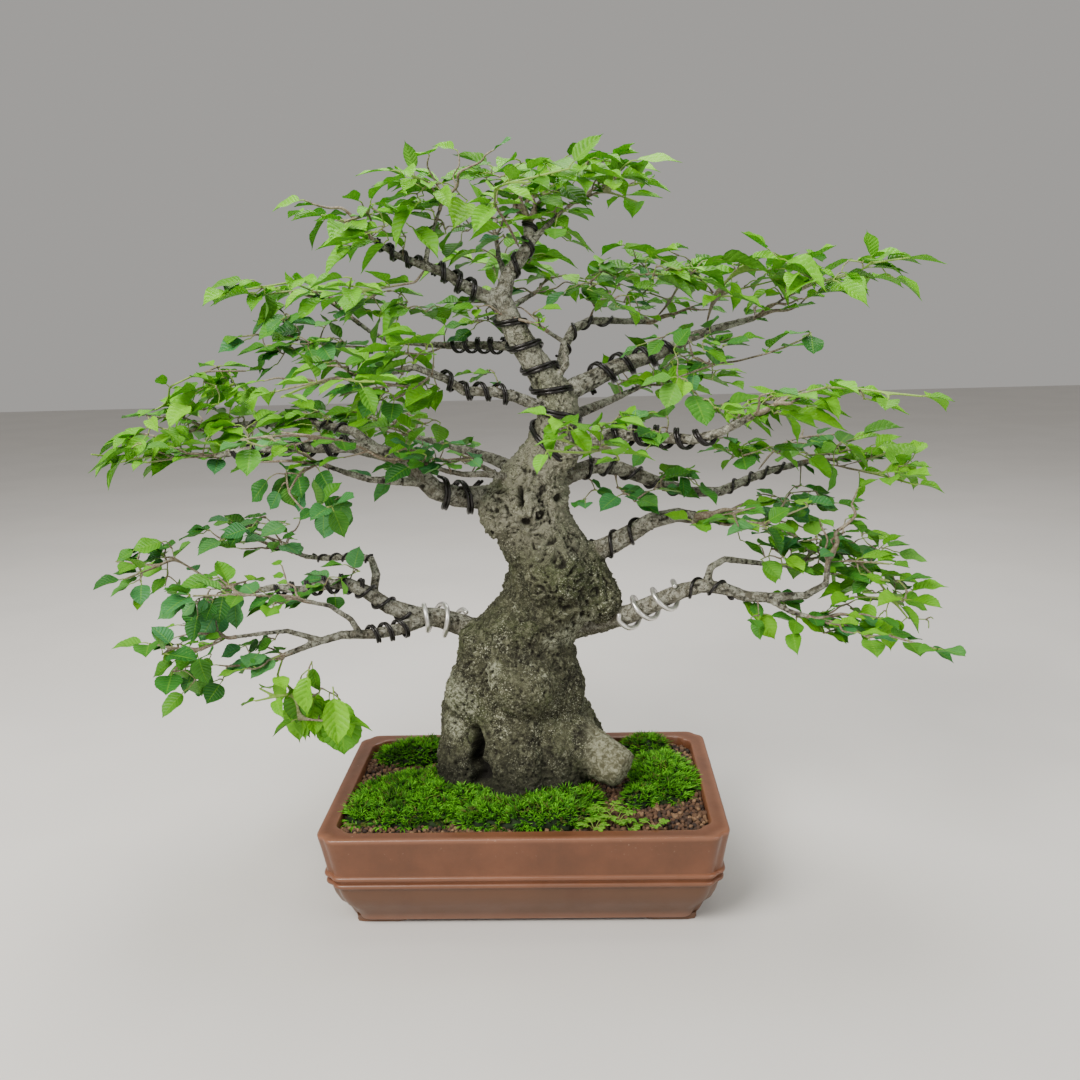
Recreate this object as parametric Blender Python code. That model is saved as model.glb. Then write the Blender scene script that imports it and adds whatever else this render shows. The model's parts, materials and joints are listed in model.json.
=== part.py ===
"""Bonsai tree in a clay pot.

A stout, burled trunk stands behind the middle of a rectangular clay pot. Its branches are
shaped with training wire and carry thin leafy sprays. Moss and sprigs grow on the soil.

Metres, +Z up. The origin is the centre of the pot's footprint on the standing surface, +X is
the long way of the pot and +Y points away from the tree's front.
"""

import math
import random

import bmesh
import bpy
from mathutils import Vector
from mathutils.bvhtree import BVHTree

# ---------------------------------------------------------------------------
# Driving dimensions
# ---------------------------------------------------------------------------

CLEARANCE = 0.0003

POT_LENGTH = 0.400
POT_DEPTH = 0.262
POT_HEIGHT = 0.104
POT_CORNER = 0.020
CORNER_STEPS = 5
RIM_WIDTH = 0.0165
RIM_ROUND = 0.002
FLOOR_THICKNESS = 0.012
UPPER_TAPER = 0.006
LOWER_TAPER = 0.026
CORD_RADIUS = 0.0024
CORD_UPPER_HEIGHT = 0.060
CORD_LOWER_HEIGHT = 0.0515
FOOT_HEIGHT = 0.004
FOOT_LENGTH = 0.052
FOOT_WIDTH = 0.036
DRAIN_RADIUS = 0.011
DRAIN_SPACING = 0.180
SCREEN_RADIUS = 0.017
SCREEN_THICKNESS = 0.0012

SOIL_BELOW_RIM = 0.0075
ROOT_DEPTH = 0.012

TWIG_RADIUS = 0.0015
TWIG_NODE = 0.0028
LEAF_THICKNESS = 0.0010
LEAF_WIDTH_SHARE = 0.62
LEAF_WIDEST_AT = 0.48
LEAVES_PER_SPRAY = 10

# The trunk, from the soil up: centre of the section, half width, half depth.
TRUNK = (
    (-0.012, 0.030, 0.079, 0.084, 0.064),
    (-0.012, 0.030, 0.114, 0.081, 0.063),
    (-0.014, 0.030, 0.145, 0.079, 0.062),
    (-0.014, 0.031, 0.178, 0.077, 0.060),
    (-0.008, 0.031, 0.205, 0.074, 0.058),
    (-0.007, 0.030, 0.230, 0.065, 0.054),
    (-0.006, 0.029, 0.256, 0.058, 0.050),
    (0.012, 0.027, 0.279, 0.057, 0.050),
    (0.034, 0.026, 0.300, 0.058, 0.050),
    (0.044, 0.026, 0.321, 0.054, 0.048),
    (0.034, 0.028, 0.342, 0.049, 0.045),
    (0.021, 0.030, 0.362, 0.046, 0.043),
    (0.009, 0.031, 0.385, 0.043, 0.041),
    (0.006, 0.031, 0.408, 0.042, 0.039),
    (0.012, 0.030, 0.428, 0.036, 0.035),
    (0.022, 0.030, 0.446, 0.029, 0.029),
    (0.034, 0.030, 0.464, 0.025, 0.025),
    (0.042, 0.030, 0.485, 0.022, 0.022),
    (0.042, 0.030, 0.505, 0.020, 0.020),
    (0.030, 0.030, 0.528, 0.018, 0.018),
    (0.012, 0.030, 0.556, 0.0155, 0.0155),
    (-0.004, 0.030, 0.584, 0.0135, 0.0135),
    (-0.012, 0.030, 0.606, 0.0115, 0.0115),
    (-0.013, 0.030, 0.616, 0.009, 0.009),
)

# Roots: radius where each leaves the trunk, radius at its end, then its route.
ROOTS = {
    "left": (0.038, 0.030, ((-0.050, 0.020, 0.165), (-0.064, 0.006, 0.125), (-0.068, -0.002, 0.080))),
    "front": (0.037, 0.033, ((-0.010, 0.000, 0.170), (-0.006, -0.018, 0.125), (-0.004, -0.026, 0.080))),
    "front_right": (0.030, 0.026, ((0.025, 0.005, 0.165), (0.036, -0.014, 0.125), (0.040, -0.022, 0.080))),
    "cut_stub": (
        0.034,
        0.022,
        ((0.026, 0.018, 0.156), (0.056, -0.008, 0.148), (0.084, -0.026, 0.137), (0.104, -0.037, 0.129)),
    ),
    "right": (0.034, 0.027, ((0.038, 0.035, 0.165), (0.058, 0.045, 0.125), (0.068, 0.052, 0.080))),
    "back_left": (0.036, 0.028, ((-0.045, 0.050, 0.165), (-0.060, 0.068, 0.125), (-0.066, 0.074, 0.080))),
    "back_right": (0.034, 0.028, ((0.020, 0.058, 0.165), (0.030, 0.074, 0.125), (0.034, 0.080, 0.080))),
}

# Burls and healed knots that swell out of the trunk: centre and radius.
BURLS = {
    "left_ledge": (-0.042, 0.016, 0.250, 0.028),
    "right_burl": (0.077, 0.016, 0.300, 0.027),
    "front_burl": (0.034, -0.008, 0.330, 0.034),
    "left_knee": (-0.012, 0.014, 0.393, 0.030),
    "front_knot": (0.008, -0.004, 0.404, 0.016),
    "right_collar": (0.044, 0.020, 0.450, 0.019),
    "low_left_lump": (-0.056, 0.008, 0.198, 0.030),
    "front_lump": (0.004, -0.012, 0.214, 0.036),
    "back_burl": (0.010, 0.066, 0.300, 0.034),
}

# Branches: radius where each leaves the wood, radius at its tip, then its route.
BRANCHES = {
    "low_left": (
        0.0145,
        0.0032,
        (
            (-0.033, 0.030, 0.253),
            (-0.065, 0.030, 0.268),
            (-0.088, 0.025, 0.278),
            (-0.112, 0.020, 0.283),
            (-0.141, 0.015, 0.295),
            (-0.161, 0.010, 0.312),
            (-0.182, 0.010, 0.322),
            (-0.207, 0.010, 0.320),
            (-0.232, 0.010, 0.315),
            (-0.257, 0.010, 0.319),
            (-0.282, 0.010, 0.315),
        ),
    ),
    "low_left_up": (
        0.0058,
        0.0028,
        (
            (-0.156, 0.015, 0.305),
            (-0.154, 0.030, 0.326),
            (-0.161, 0.044, 0.340),
            (-0.192, 0.060, 0.338),
            (-0.220, 0.070, 0.335),
            (-0.240, 0.080, 0.335),
            (-0.263, 0.090, 0.341),
        ),
    ),
    "low_left_front": (
        0.0085,
        0.0030,
        (
            (-0.099, 0.022, 0.280),
            (-0.128, -0.005, 0.275),
            (-0.151, -0.018, 0.275),
            (-0.182, -0.030, 0.278),
            (-0.203, -0.042, 0.275),
            (-0.234, -0.055, 0.266),
        ),
    ),
    "low_left_fork": (
        0.0042,
        0.0024,
        ((-0.163, -0.025, 0.277), (-0.170, -0.035, 0.296), (-0.187, -0.048, 0.314), (-0.210, -0.060, 0.323)),
    ),
    "low_left_whip": (
        0.0038,
        0.0022,
        ((-0.200, -0.040, 0.276), (-0.230, -0.052, 0.290), (-0.250, -0.065, 0.292), (-0.282, -0.075, 0.291)),
    ),
    "mid_left": (
        0.0150,
        0.0032,
        (
            (-0.002, 0.030, 0.400),
            (-0.038, 0.022, 0.407),
            (-0.063, 0.012, 0.410),
            (-0.084, 0.003, 0.419),
            (-0.103, -0.003, 0.441),
            (-0.129, -0.010, 0.459),
            (-0.163, -0.015, 0.468),
            (-0.192, -0.020, 0.468),
            (-0.222, -0.020, 0.469),
            (-0.262, -0.020, 0.467),
            (-0.297, -0.020, 0.462),
        ),
    ),
    "mid_left_up": (
        0.0062,
        0.0028,
        (
            (-0.133, -0.011, 0.460),
            (-0.163, 0.002, 0.481),
            (-0.193, 0.012, 0.486),
            (-0.220, 0.022, 0.491),
            (-0.255, 0.030, 0.487),
            (-0.294, 0.040, 0.486),
            (-0.327, 0.045, 0.481),
        ),
    ),
    "mid_left_low": (
        0.0060,
        0.0028,
        (
            (-0.090, 0.001, 0.427),
            (-0.118, -0.024, 0.433),
            (-0.143, -0.034, 0.437),
            (-0.165, -0.042, 0.446),
            (-0.186, -0.050, 0.456),
        ),
    ),
    "mid_left_small": (
        0.0050,
        0.0026,
        (
            (0.000, 0.016, 0.428),
            (-0.032, -0.010, 0.436),
            (-0.052, -0.016, 0.437),
            (-0.069, -0.022, 0.442),
            (-0.087, -0.028, 0.450),
        ),
    ),
    "upper_left": (
        0.0078,
        0.0028,
        (
            (0.035, 0.026, 0.497),
            (0.018, 0.012, 0.502),
            (0.000, 0.002, 0.511),
            (-0.022, -0.006, 0.517),
            (-0.049, -0.015, 0.519),
            (-0.064, -0.020, 0.531),
            (-0.093, -0.030, 0.544),
            (-0.121, -0.040, 0.539),
            (-0.149, -0.050, 0.540),
        ),
    ),
    "upper_left_back": (
        0.0062,
        0.0026,
        (
            (0.013, 0.030, 0.553),
            (-0.010, 0.045, 0.559),
            (-0.043, 0.060, 0.560),
            (-0.076, 0.075, 0.560),
            (-0.109, 0.085, 0.563),
            (-0.136, 0.090, 0.565),
            (-0.157, 0.095, 0.576),
            (-0.176, 0.100, 0.590),
        ),
    ),
    "crown_left": (
        0.0088,
        0.0028,
        (
            (-0.006, 0.030, 0.592),
            (-0.024, 0.024, 0.607),
            (-0.048, 0.015, 0.620),
            (-0.064, 0.010, 0.632),
            (-0.089, 0.010, 0.641),
            (-0.111, 0.005, 0.650),
            (-0.133, 0.000, 0.666),
        ),
    ),
    "crown_left_twig": (
        0.0034,
        0.0020,
        ((-0.084, 0.010, 0.639), (-0.078, 0.006, 0.662), (-0.063, 0.000, 0.697)),
    ),
    "crown": (
        0.0095,
        0.0058,
        (
            (-0.012, 0.030, 0.604),
            (-0.004, 0.030, 0.629),
            (0.010, 0.030, 0.646),
            (0.018, 0.034, 0.660),
            (0.017, 0.040, 0.678),
        ),
    ),
    "crown_right": (
        0.0048,
        0.0022,
        ((0.013, 0.032, 0.651), (0.030, 0.036, 0.670), (0.046, 0.043, 0.685), (0.062, 0.050, 0.697)),
    ),
    "crown_back": (
        0.0044,
        0.0024,
        ((-0.005, 0.030, 0.623), (-0.014, 0.044, 0.646), (-0.017, 0.060, 0.668)),
    ),
    "upper_right": (
        0.0130,
        0.0034,
        (
            (0.035, 0.030, 0.502),
            (0.060, 0.036, 0.516),
            (0.080, 0.045, 0.524),
            (0.104, 0.055, 0.535),
            (0.140, 0.065, 0.544),
            (0.157, 0.070, 0.550),
            (0.181, 0.075, 0.562),
            (0.209, 0.081, 0.570),
            (0.247, 0.085, 0.579),
        ),
    ),
    "upper_right_back": (
        0.0078,
        0.0030,
        (
            (0.035, 0.038, 0.518),
            (0.046, 0.052, 0.538),
            (0.050, 0.062, 0.557),
            (0.058, 0.072, 0.573),
            (0.076, 0.086, 0.581),
            (0.101, 0.102, 0.580),
            (0.144, 0.125, 0.577),
        ),
    ),
    "upper_spur": (
        0.0046,
        0.0024,
        ((0.036, 0.026, 0.520), (0.052, 0.020, 0.540), (0.050, 0.018, 0.562), (0.028, 0.016, 0.577)),
    ),
    "mid_right_front": (
        0.0118,
        0.0034,
        (
            (0.024, 0.022, 0.444),
            (0.060, 0.006, 0.458),
            (0.090, -0.010, 0.470),
            (0.117, -0.025, 0.475),
            (0.144, -0.040, 0.472),
            (0.171, -0.055, 0.471),
            (0.194, -0.067, 0.479),
            (0.222, -0.080, 0.495),
        ),
    ),
    "mid_right": (
        0.0112,
        0.0034,
        (
            (0.019, 0.030, 0.415),
            (0.055, 0.040, 0.427),
            (0.078, 0.048, 0.434),
            (0.105, 0.054, 0.429),
            (0.141, 0.058, 0.414),
            (0.178, 0.062, 0.401),
            (0.211, 0.066, 0.400),
            (0.241, 0.070, 0.412),
            (0.268, 0.075, 0.421),
            (0.307, 0.080, 0.428),
        ),
    ),
    "stub_right": (
        0.0145,
        0.0070,
        (
            (0.039, 0.030, 0.333),
            (0.071, 0.030, 0.343),
            (0.096, 0.030, 0.354),
            (0.116, 0.025, 0.367),
            (0.135, 0.018, 0.380),
            (0.161, 0.010, 0.387),
            (0.179, 0.000, 0.385),
        ),
    ),
    "low_right": (
        0.0140,
        0.0030,
        (
            (0.050, 0.034, 0.263),
            (0.081, 0.026, 0.271),
            (0.113, 0.010, 0.284),
            (0.137, -0.001, 0.298),
            (0.163, -0.012, 0.313),
            (0.183, -0.020, 0.320),
            (0.204, -0.025, 0.318),
            (0.225, -0.031, 0.311),
            (0.250, -0.036, 0.311),
            (0.281, -0.042, 0.314),
            (0.300, -0.045, 0.326),
            (0.301, -0.045, 0.347),
        ),
    ),
    "low_right_up": (
        0.0050,
        0.0026,
        (
            (0.187, -0.020, 0.320),
            (0.191, -0.018, 0.338),
            (0.206, -0.012, 0.345),
            (0.230, -0.005, 0.340),
            (0.255, 0.002, 0.335),
            (0.279, 0.010, 0.331),
        ),
    ),
    "low_right_front": (
        0.0040,
        0.0026,
        ((0.242, -0.035, 0.311), (0.264, -0.052, 0.301), (0.287, -0.062, 0.296)),
    ),
    "back_low": (
        0.0120,
        0.0034,
        (
            (0.022, 0.034, 0.372),
            (0.024, 0.078, 0.388),
            (0.010, 0.115, 0.398),
            (-0.022, 0.150, 0.404),
            (-0.050, 0.176, 0.416),
        ),
    ),
    "back_left": (
        0.0088,
        0.0030,
        (
            (0.008, 0.036, 0.428),
            (-0.030, 0.072, 0.440),
            (-0.075, 0.104, 0.450),
            (-0.120, 0.134, 0.458),
        ),
    ),
    "back_right": (
        0.0088,
        0.0030,
        (
            (0.040, 0.034, 0.476),
            (0.064, 0.078, 0.486),
            (0.096, 0.118, 0.494),
            (0.130, 0.150, 0.505),
        ),
    ),
    "back_high": (
        0.0070,
        0.0028,
        (
            (0.002, 0.030, 0.574),
            (-0.010, 0.066, 0.590),
            (-0.002, 0.108, 0.600),
            (0.018, 0.146, 0.612),
        ),
    ),
}

# Leafy sprays: the branch that each grows from and how far along it (1 is the tip), then the
# rest of its route, then the number of side shoots, the leaf length and the leaves' age.
YOUNG = "leaf_young"
MATURE = "leaf_mature"
SPRAYS = {
    "apex_right": (
        ("crown_right", 1.0),
        ((0.088, 0.038, 0.706), (0.122, 0.026, 0.710)),
        (3, 0.034, YOUNG),
    ),
    "apex_top": (
        ("crown", 0.97),
        ((0.014, 0.062, 0.702), (0.032, 0.070, 0.722), (0.076, 0.062, 0.736)),
        (3, 0.036, YOUNG),
    ),
    "apex_left": (
        ("crown_left_twig", 1.0),
        ((-0.070, -0.018, 0.712), (-0.094, -0.040, 0.716)),
        (2, 0.032, YOUNG),
    ),
    "apex_front": (
        ("crown", 0.62),
        ((0.000, 0.000, 0.672), (-0.012, -0.030, 0.694), (-0.006, -0.070, 0.704)),
        (3, 0.034, YOUNG),
    ),
    "apex_back": (
        ("crown_back", 1.0),
        ((-0.026, 0.090, 0.684), (-0.030, 0.130, 0.690)),
        (3, 0.034, YOUNG),
    ),
    "crown_left_tip": (
        ("crown_left", 1.0),
        ((-0.151, -0.010, 0.681), (-0.180, -0.018, 0.672)),
        (3, 0.032, YOUNG),
    ),
    "crown_left_low": (
        ("crown_left", 0.61),
        ((-0.088, -0.018, 0.624), (-0.120, -0.046, 0.618)),
        (3, 0.030, YOUNG),
    ),
    "upper_left_tip": (
        ("upper_left_back", 1.0),
        ((-0.205, 0.080, 0.613), (-0.243, 0.056, 0.620), (-0.284, 0.030, 0.606)),
        (3, 0.038, YOUNG),
    ),
    "upper_left_low": (
        ("upper_left_back", 0.72),
        ((-0.160, 0.072, 0.560), (-0.205, 0.040, 0.566), (-0.236, 0.006, 0.556)),
        (4, 0.030, MATURE),
    ),
    "upper_left_mid": (
        ("upper_left_back", 0.47),
        ((-0.096, 0.050, 0.552), (-0.130, 0.020, 0.560), (-0.156, -0.006, 0.570)),
        (3, 0.030, YOUNG),
    ),
    "upper_left_front": (
        ("upper_left", 1.0),
        ((-0.164, -0.090, 0.538), (-0.176, -0.140, 0.534), (-0.184, -0.176, 0.530)),
        (3, 0.034, YOUNG),
    ),
    "upper_left_in": (
        ("upper_left", 0.64),
        ((-0.090, -0.056, 0.526), (-0.122, -0.088, 0.510)),
        (3, 0.030, MATURE),
    ),
    "left_tip_up": (
        ("mid_left_up", 1.0),
        ((-0.350, 0.034, 0.500), (-0.352, 0.012, 0.524), (-0.318, -0.004, 0.540)),
        (4, 0.026, YOUNG),
    ),
    "left_tip": (
        ("mid_left", 1.0),
        ((-0.330, -0.030, 0.462), (-0.366, -0.034, 0.458)),
        (4, 0.028, YOUNG),
    ),
    "left_hang": (
        ("mid_left_low", 1.0),
        ((-0.201, -0.070, 0.450), (-0.206, -0.094, 0.434), (-0.180, -0.110, 0.410)),
        (3, 0.028, MATURE),
    ),
    "left_front": (
        ("mid_left", 0.40),
        ((-0.160, -0.070, 0.480), (-0.200, -0.124, 0.492), (-0.234, -0.172, 0.494)),
        (4, 0.027, MATURE),
    ),
    "left_small": (
        ("mid_left_small", 1.0),
        ((-0.100, -0.044, 0.466), (-0.094, -0.070, 0.476)),
        (2, 0.022, MATURE),
    ),
    "low_left_tip": (
        ("low_left", 1.0),
        ((-0.316, 0.010, 0.322), (-0.348, 0.004, 0.348), (-0.372, -0.004, 0.366)),
        (4, 0.030, MATURE),
    ),
    "low_left_up": (
        ("low_left_up", 1.0),
        ((-0.296, 0.100, 0.358), (-0.330, 0.096, 0.364)),
        (4, 0.028, MATURE),
    ),
    "low_left_mid": (
        ("low_left_whip", 1.0),
        ((-0.306, -0.090, 0.284), (-0.340, -0.100, 0.258)),
        (3, 0.032, MATURE),
    ),
    "low_left_hang": (
        ("low_left_front", 1.0),
        ((-0.236, -0.078, 0.252), (-0.214, -0.088, 0.234), (-0.216, -0.094, 0.206)),
        (3, 0.028, YOUNG),
    ),
    "low_left_front": (
        ("low_left_fork", 1.0),
        ((-0.236, -0.080, 0.334), (-0.284, -0.096, 0.340)),
        (3, 0.034, MATURE),
    ),
    "upper_right_tip": (
        ("upper_right", 1.0),
        ((0.288, 0.080, 0.604), (0.332, 0.070, 0.620), (0.366, 0.060, 0.616)),
        (4, 0.038, YOUNG),
    ),
    "upper_right_up": (
        ("upper_right", 0.78),
        ((0.204, 0.060, 0.606), (0.232, 0.040, 0.634), (0.272, 0.030, 0.648)),
        (4, 0.038, YOUNG),
    ),
    "upper_right_back": (
        ("upper_right_back", 1.0),
        ((0.170, 0.136, 0.606), (0.186, 0.150, 0.644)),
        (4, 0.030, YOUNG),
    ),
    "upper_right_low": (
        ("upper_right", 0.68),
        ((0.184, 0.030, 0.538), (0.222, 0.006, 0.540), (0.262, -0.010, 0.552)),
        (4, 0.030, MATURE),
    ),
    "mid_right_tip": (
        ("mid_right_front", 1.0),
        ((0.255, -0.084, 0.512), (0.294, -0.086, 0.520), (0.330, -0.080, 0.514)),
        (4, 0.034, YOUNG),
    ),
    "mid_right_in": (
        ("mid_right_front", 0.26),
        ((0.092, -0.060, 0.466), (0.066, -0.120, 0.470), (0.036, -0.174, 0.480)),
        (4, 0.030, YOUNG),
    ),
    "low_right_tip": (
        ("mid_right", 1.0),
        ((0.338, 0.060, 0.424), (0.362, 0.000, 0.424), (0.382, -0.050, 0.422)),
        (4, 0.030, YOUNG),
    ),
    "low_right_up": (
        ("mid_right", 0.82),
        ((0.280, 0.100, 0.444), (0.320, 0.130, 0.450)),
        (4, 0.028, MATURE),
    ),
    "stub_spray": (
        ("stub_right", 1.0),
        ((0.206, -0.030, 0.390), (0.250, -0.056, 0.386)),
        (4, 0.028, MATURE),
    ),
    "bottom_right_tip": (
        ("low_right", 1.0),
        ((0.332, -0.040, 0.346), (0.358, -0.036, 0.318), (0.384, -0.030, 0.286)),
        (4, 0.030, YOUNG),
    ),
    "bottom_right_up": (
        ("low_right_up", 1.0),
        ((0.316, 0.030, 0.346), (0.360, 0.050, 0.346)),
        (4, 0.028, MATURE),
    ),
    "bottom_right_low": (
        ("low_right_front", 1.0),
        ((0.312, -0.076, 0.294), (0.338, -0.090, 0.280)),
        (3, 0.028, MATURE),
    ),
    "back_low": (
        ("back_low", 1.0),
        ((-0.078, 0.186, 0.424), (-0.114, 0.190, 0.422)),
        (4, 0.032, MATURE),
    ),
    "back_left": (
        ("back_left", 1.0),
        ((-0.158, 0.156, 0.468), (-0.200, 0.166, 0.470)),
        (4, 0.030, MATURE),
    ),
    "back_right": (
        ("back_right", 1.0),
        ((0.158, 0.170, 0.514), (0.190, 0.186, 0.518)),
        (4, 0.030, YOUNG),
    ),
    "back_high": (
        ("back_high", 1.0),
        ((0.030, 0.168, 0.626), (0.032, 0.190, 0.640)),
        (4, 0.032, YOUNG),
    ),
}

# Training wires: branch, where the winding starts and ends along it, turns, wire radius and
# start angle in turns. The bare aluminium ones are on the two lowest branches.
DARK_WIRE = "wire_dark"
BARE_WIRE = "wire_bare"
WIRES = {
    "low_left_bare": ("low_left", 0.14, 0.30, 2, 0.0026, 0.20, BARE_WIRE),
    "low_left_dark": ("low_left", 0.56, 0.90, 5, 0.0017, 0.10, DARK_WIRE),
    "low_left_front": ("low_left_front", 0.18, 0.46, 3, 0.0018, 0.55, DARK_WIRE),
    "mid_left": ("mid_left", 0.12, 0.27, 2, 0.0023, 0.30, DARK_WIRE),
    "mid_left_tip": ("mid_left", 0.58, 0.94, 5, 0.0018, 0.00, DARK_WIRE),
    "upper_left": ("upper_left", 0.22, 0.58, 4, 0.0018, 0.40, DARK_WIRE),
    "upper_left_back": ("upper_left_back", 0.14, 0.42, 4, 0.0016, 0.15, DARK_WIRE),
    "crown_left": ("crown_left", 0.24, 0.56, 3, 0.0019, 0.60, DARK_WIRE),
    "crown_left_tip": ("crown_left", 0.66, 0.96, 3, 0.0016, 0.10, DARK_WIRE),
    "upper_right": ("upper_right", 0.20, 0.62, 4, 0.0021, 0.75, DARK_WIRE),
    "mid_right_front": ("mid_right_front", 0.36, 0.82, 5, 0.0020, 0.05, DARK_WIRE),
    "low_right_bare": ("low_right", 0.20, 0.44, 3, 0.0026, 0.40, BARE_WIRE),
}
WIRE_POINTS_PER_TURN = 8
WIRE_SIDES = 4
WIRE_CLEARANCE = 0.0006

# Moss cushions on the soil: centre, half length, half depth and height.
MOSS = {
    "front_left": (-0.112, -0.028, 0.064, 0.062, 0.021),
    "front_middle": (0.014, -0.068, 0.054, 0.036, 0.020),
    "right": (0.142, 0.010, 0.034, 0.060, 0.022),
    "back_left": (-0.132, 0.078, 0.040, 0.024, 0.020),
}

# The small seedling in front of the trunk: where it stands and its height.
SPRIG_PLACE = (0.092, -0.088)
SPRIG_HEIGHT = 0.020

# The trimmed canopy: no leaf or side shoot grows out of this box.
CANOPY_HALF_LENGTH = 0.408
CANOPY_HALF_DEPTH = 0.208
CANOPY_TOP = 0.750

SEED = 27


# ---------------------------------------------------------------------------
# Materials
# ---------------------------------------------------------------------------

# Slot: linear colour, roughness and metallic value.
FINISHES = {
    "clay": ((0.235, 0.098, 0.056), 0.62, 0.0),
    "soil": ((0.150, 0.092, 0.055), 0.95, 0.0),
    "bark": ((0.165, 0.150, 0.105), 0.90, 0.0),
    YOUNG: ((0.200, 0.470, 0.030), 0.48, 0.0),
    MATURE: ((0.060, 0.220, 0.045), 0.50, 0.0),
    "moss": ((0.090, 0.240, 0.012), 0.95, 0.0),
    DARK_WIRE: ((0.016, 0.014, 0.013), 0.42, 0.6),
    BARE_WIRE: ((0.620, 0.610, 0.590), 0.38, 0.9),
    "screen": ((0.020, 0.022, 0.020), 0.60, 0.0),
}


def finish(slot):
    """The slot's Principled material, made the first time that it is asked for."""
    material = bpy.data.materials.get(slot)
    if material:
        return material
    colour, roughness, metallic = FINISHES[slot]
    material = bpy.data.materials.new(slot)
    material.use_nodes = True
    shader = material.node_tree.nodes["Principled BSDF"]
    shader.inputs["Base Color"].default_value = (*colour, 1.0)
    shader.inputs["Roughness"].default_value = roughness
    shader.inputs["Metallic"].default_value = metallic
    return material


# ---------------------------------------------------------------------------
# Shared mesh tools
# ---------------------------------------------------------------------------


def add_object(name, bm, slot=None, smooth=True):
    """Turns the bmesh into an object. Without a slot it is a helper that isn't rendered."""
    bmesh.ops.recalc_face_normals(bm, faces=bm.faces)
    mesh = bpy.data.meshes.new(name)
    bm.to_mesh(mesh)
    bm.free()
    if smooth:
        mesh.shade_smooth()
        mesh.set_sharp_from_angle(angle=math.radians(40))
    obj = bpy.data.objects.new(name, mesh)
    bpy.context.scene.collection.objects.link(obj)
    if slot:
        mesh.materials.append(finish(slot))
    else:
        obj.hide_render = True
        obj.display_type = "WIRE"
    return obj


def combine(target, other, operation):
    """Adds a Boolean of the other object to the target.

    Many near-tangent roots and branches meet here, which the exact solver loses and the
    manifold solver joins.
    """
    modifier = target.modifiers.new(f"{operation.lower()} {other.name}", "BOOLEAN")
    modifier.operation = operation
    modifier.solver = "MANIFOLD"
    modifier.object = other


def surface_of(obj):
    """A search tree of the object's evaluated surface."""
    bpy.context.view_layer.update()
    return BVHTree.FromObject(obj, bpy.context.evaluated_depsgraph_get())


def frames_along(points, heading=None):
    """(tangent, side, up) at each point, carried along the line without twisting.

    A heading sets the direction at the first point.
    """
    tangents = []
    for i in range(len(points)):
        before = points[max(i - 1, 0)]
        after = points[min(i + 1, len(points) - 1)]
        tangents.append((after - before).normalized())
    first = tangents[0] = heading or tangents[0]
    reference = Vector((0, 1, 0)) if abs(first.z) > 0.9 else Vector((0, 0, 1))
    up = (reference - first * reference.dot(first)).normalized()
    frames = []
    for tangent in tangents:
        up = (up - tangent * up.dot(tangent)).normalized()
        frames.append((tangent, up.cross(tangent), up))
    return frames


def ring_points(centre, frame, radius, sides):
    """A round section of so many sides, counter-clockwise seen from ahead."""
    _, side, up = frame
    turns = (2 * math.pi * i / sides for i in range(sides))
    return [centre + side * (radius * math.cos(a)) + up * (radius * math.sin(a)) for a in turns]


def bridge(bm, lower, upper):
    count = len(lower)
    for i in range(count):
        after = (i + 1) % count
        bm.faces.new((lower[i], lower[after], upper[after], upper[i]))


def loft(rings):
    """A closed body through the rings of points, capped at both ends."""
    bm = bmesh.new()
    rows = [[bm.verts.new(point) for point in ring] for ring in rings]
    for lower, upper in zip(rows, rows[1:]):
        bridge(bm, lower, upper)
    bm.faces.new(reversed(rows[0]))
    bm.faces.new(rows[-1])
    return bm


def tapered(route, start_radius, end_radius, grow=0.0):
    """The route's points, and a radius that falls from start to end with the length.

    With grow, the tube that they give is that much bigger on its sides and past its end.
    """
    points = [Vector(point) for point in route]
    points[-1] += (points[-1] - points[-2]).normalized() * grow
    lengths = [0.0]
    for before, after in zip(points, points[1:]):
        lengths.append(lengths[-1] + (after - before).length)
    radii = [
        start_radius + (end_radius - start_radius) * (length / lengths[-1]) ** 0.8 + grow
        for length in lengths
    ]
    return points, radii


def tube(points, radii, sides):
    frames = frames_along(points)
    return loft([ring_points(p, f, r, sides) for p, f, r in zip(points, frames, radii)])


def point_along(route, start_radius, end_radius, share):
    """The place, the direction and the radius at a share of a branch's length."""
    points, radii = tapered(route, start_radius, end_radius)
    steps = [(b - a).length for a, b in zip(points, points[1:])]
    left = share * sum(steps)
    for i, step in enumerate(steps):
        if left <= step or i == len(steps) - 1:
            part = left / step
            place = points[i].lerp(points[i + 1], part)
            radius = radii[i] + (radii[i + 1] - radii[i]) * part
            return place, (points[i + 1] - points[i]).normalized(), radius
        left -= step


# ---------------------------------------------------------------------------
# Pot, soil and screens
# ---------------------------------------------------------------------------

def inner_floor():
    return FOOT_HEIGHT + FLOOR_THICKNESS


def soil_top():
    return POT_HEIGHT - SOIL_BELOW_RIM


def outline(inset, height):
    """The pot's outline drawn in by the inset: straight sides, and corners with a soft notch."""
    half_length = POT_LENGTH / 2 - inset
    half_depth = POT_DEPTH / 2 - inset
    points = []
    for quarter in range(4):
        angle = quarter * math.pi / 2
        cos, sin = round(math.cos(angle)), round(math.sin(angle))
        along, across = (half_length, half_depth) if quarter % 2 == 0 else (half_depth, half_length)
        for step in range(CORNER_STEPS + 1):
            u = step / CORNER_STEPS
            wave = math.sin(math.pi * u)
            bulge = 0.45 * POT_CORNER * wave * (1 - 1.15 * wave * wave) / math.sqrt(2)
            x = along - POT_CORNER * u + bulge
            y = across - POT_CORNER * (1 - u) + bulge
            points.append(Vector((x * cos - y * sin, x * sin + y * cos, height)))
    return points


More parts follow.
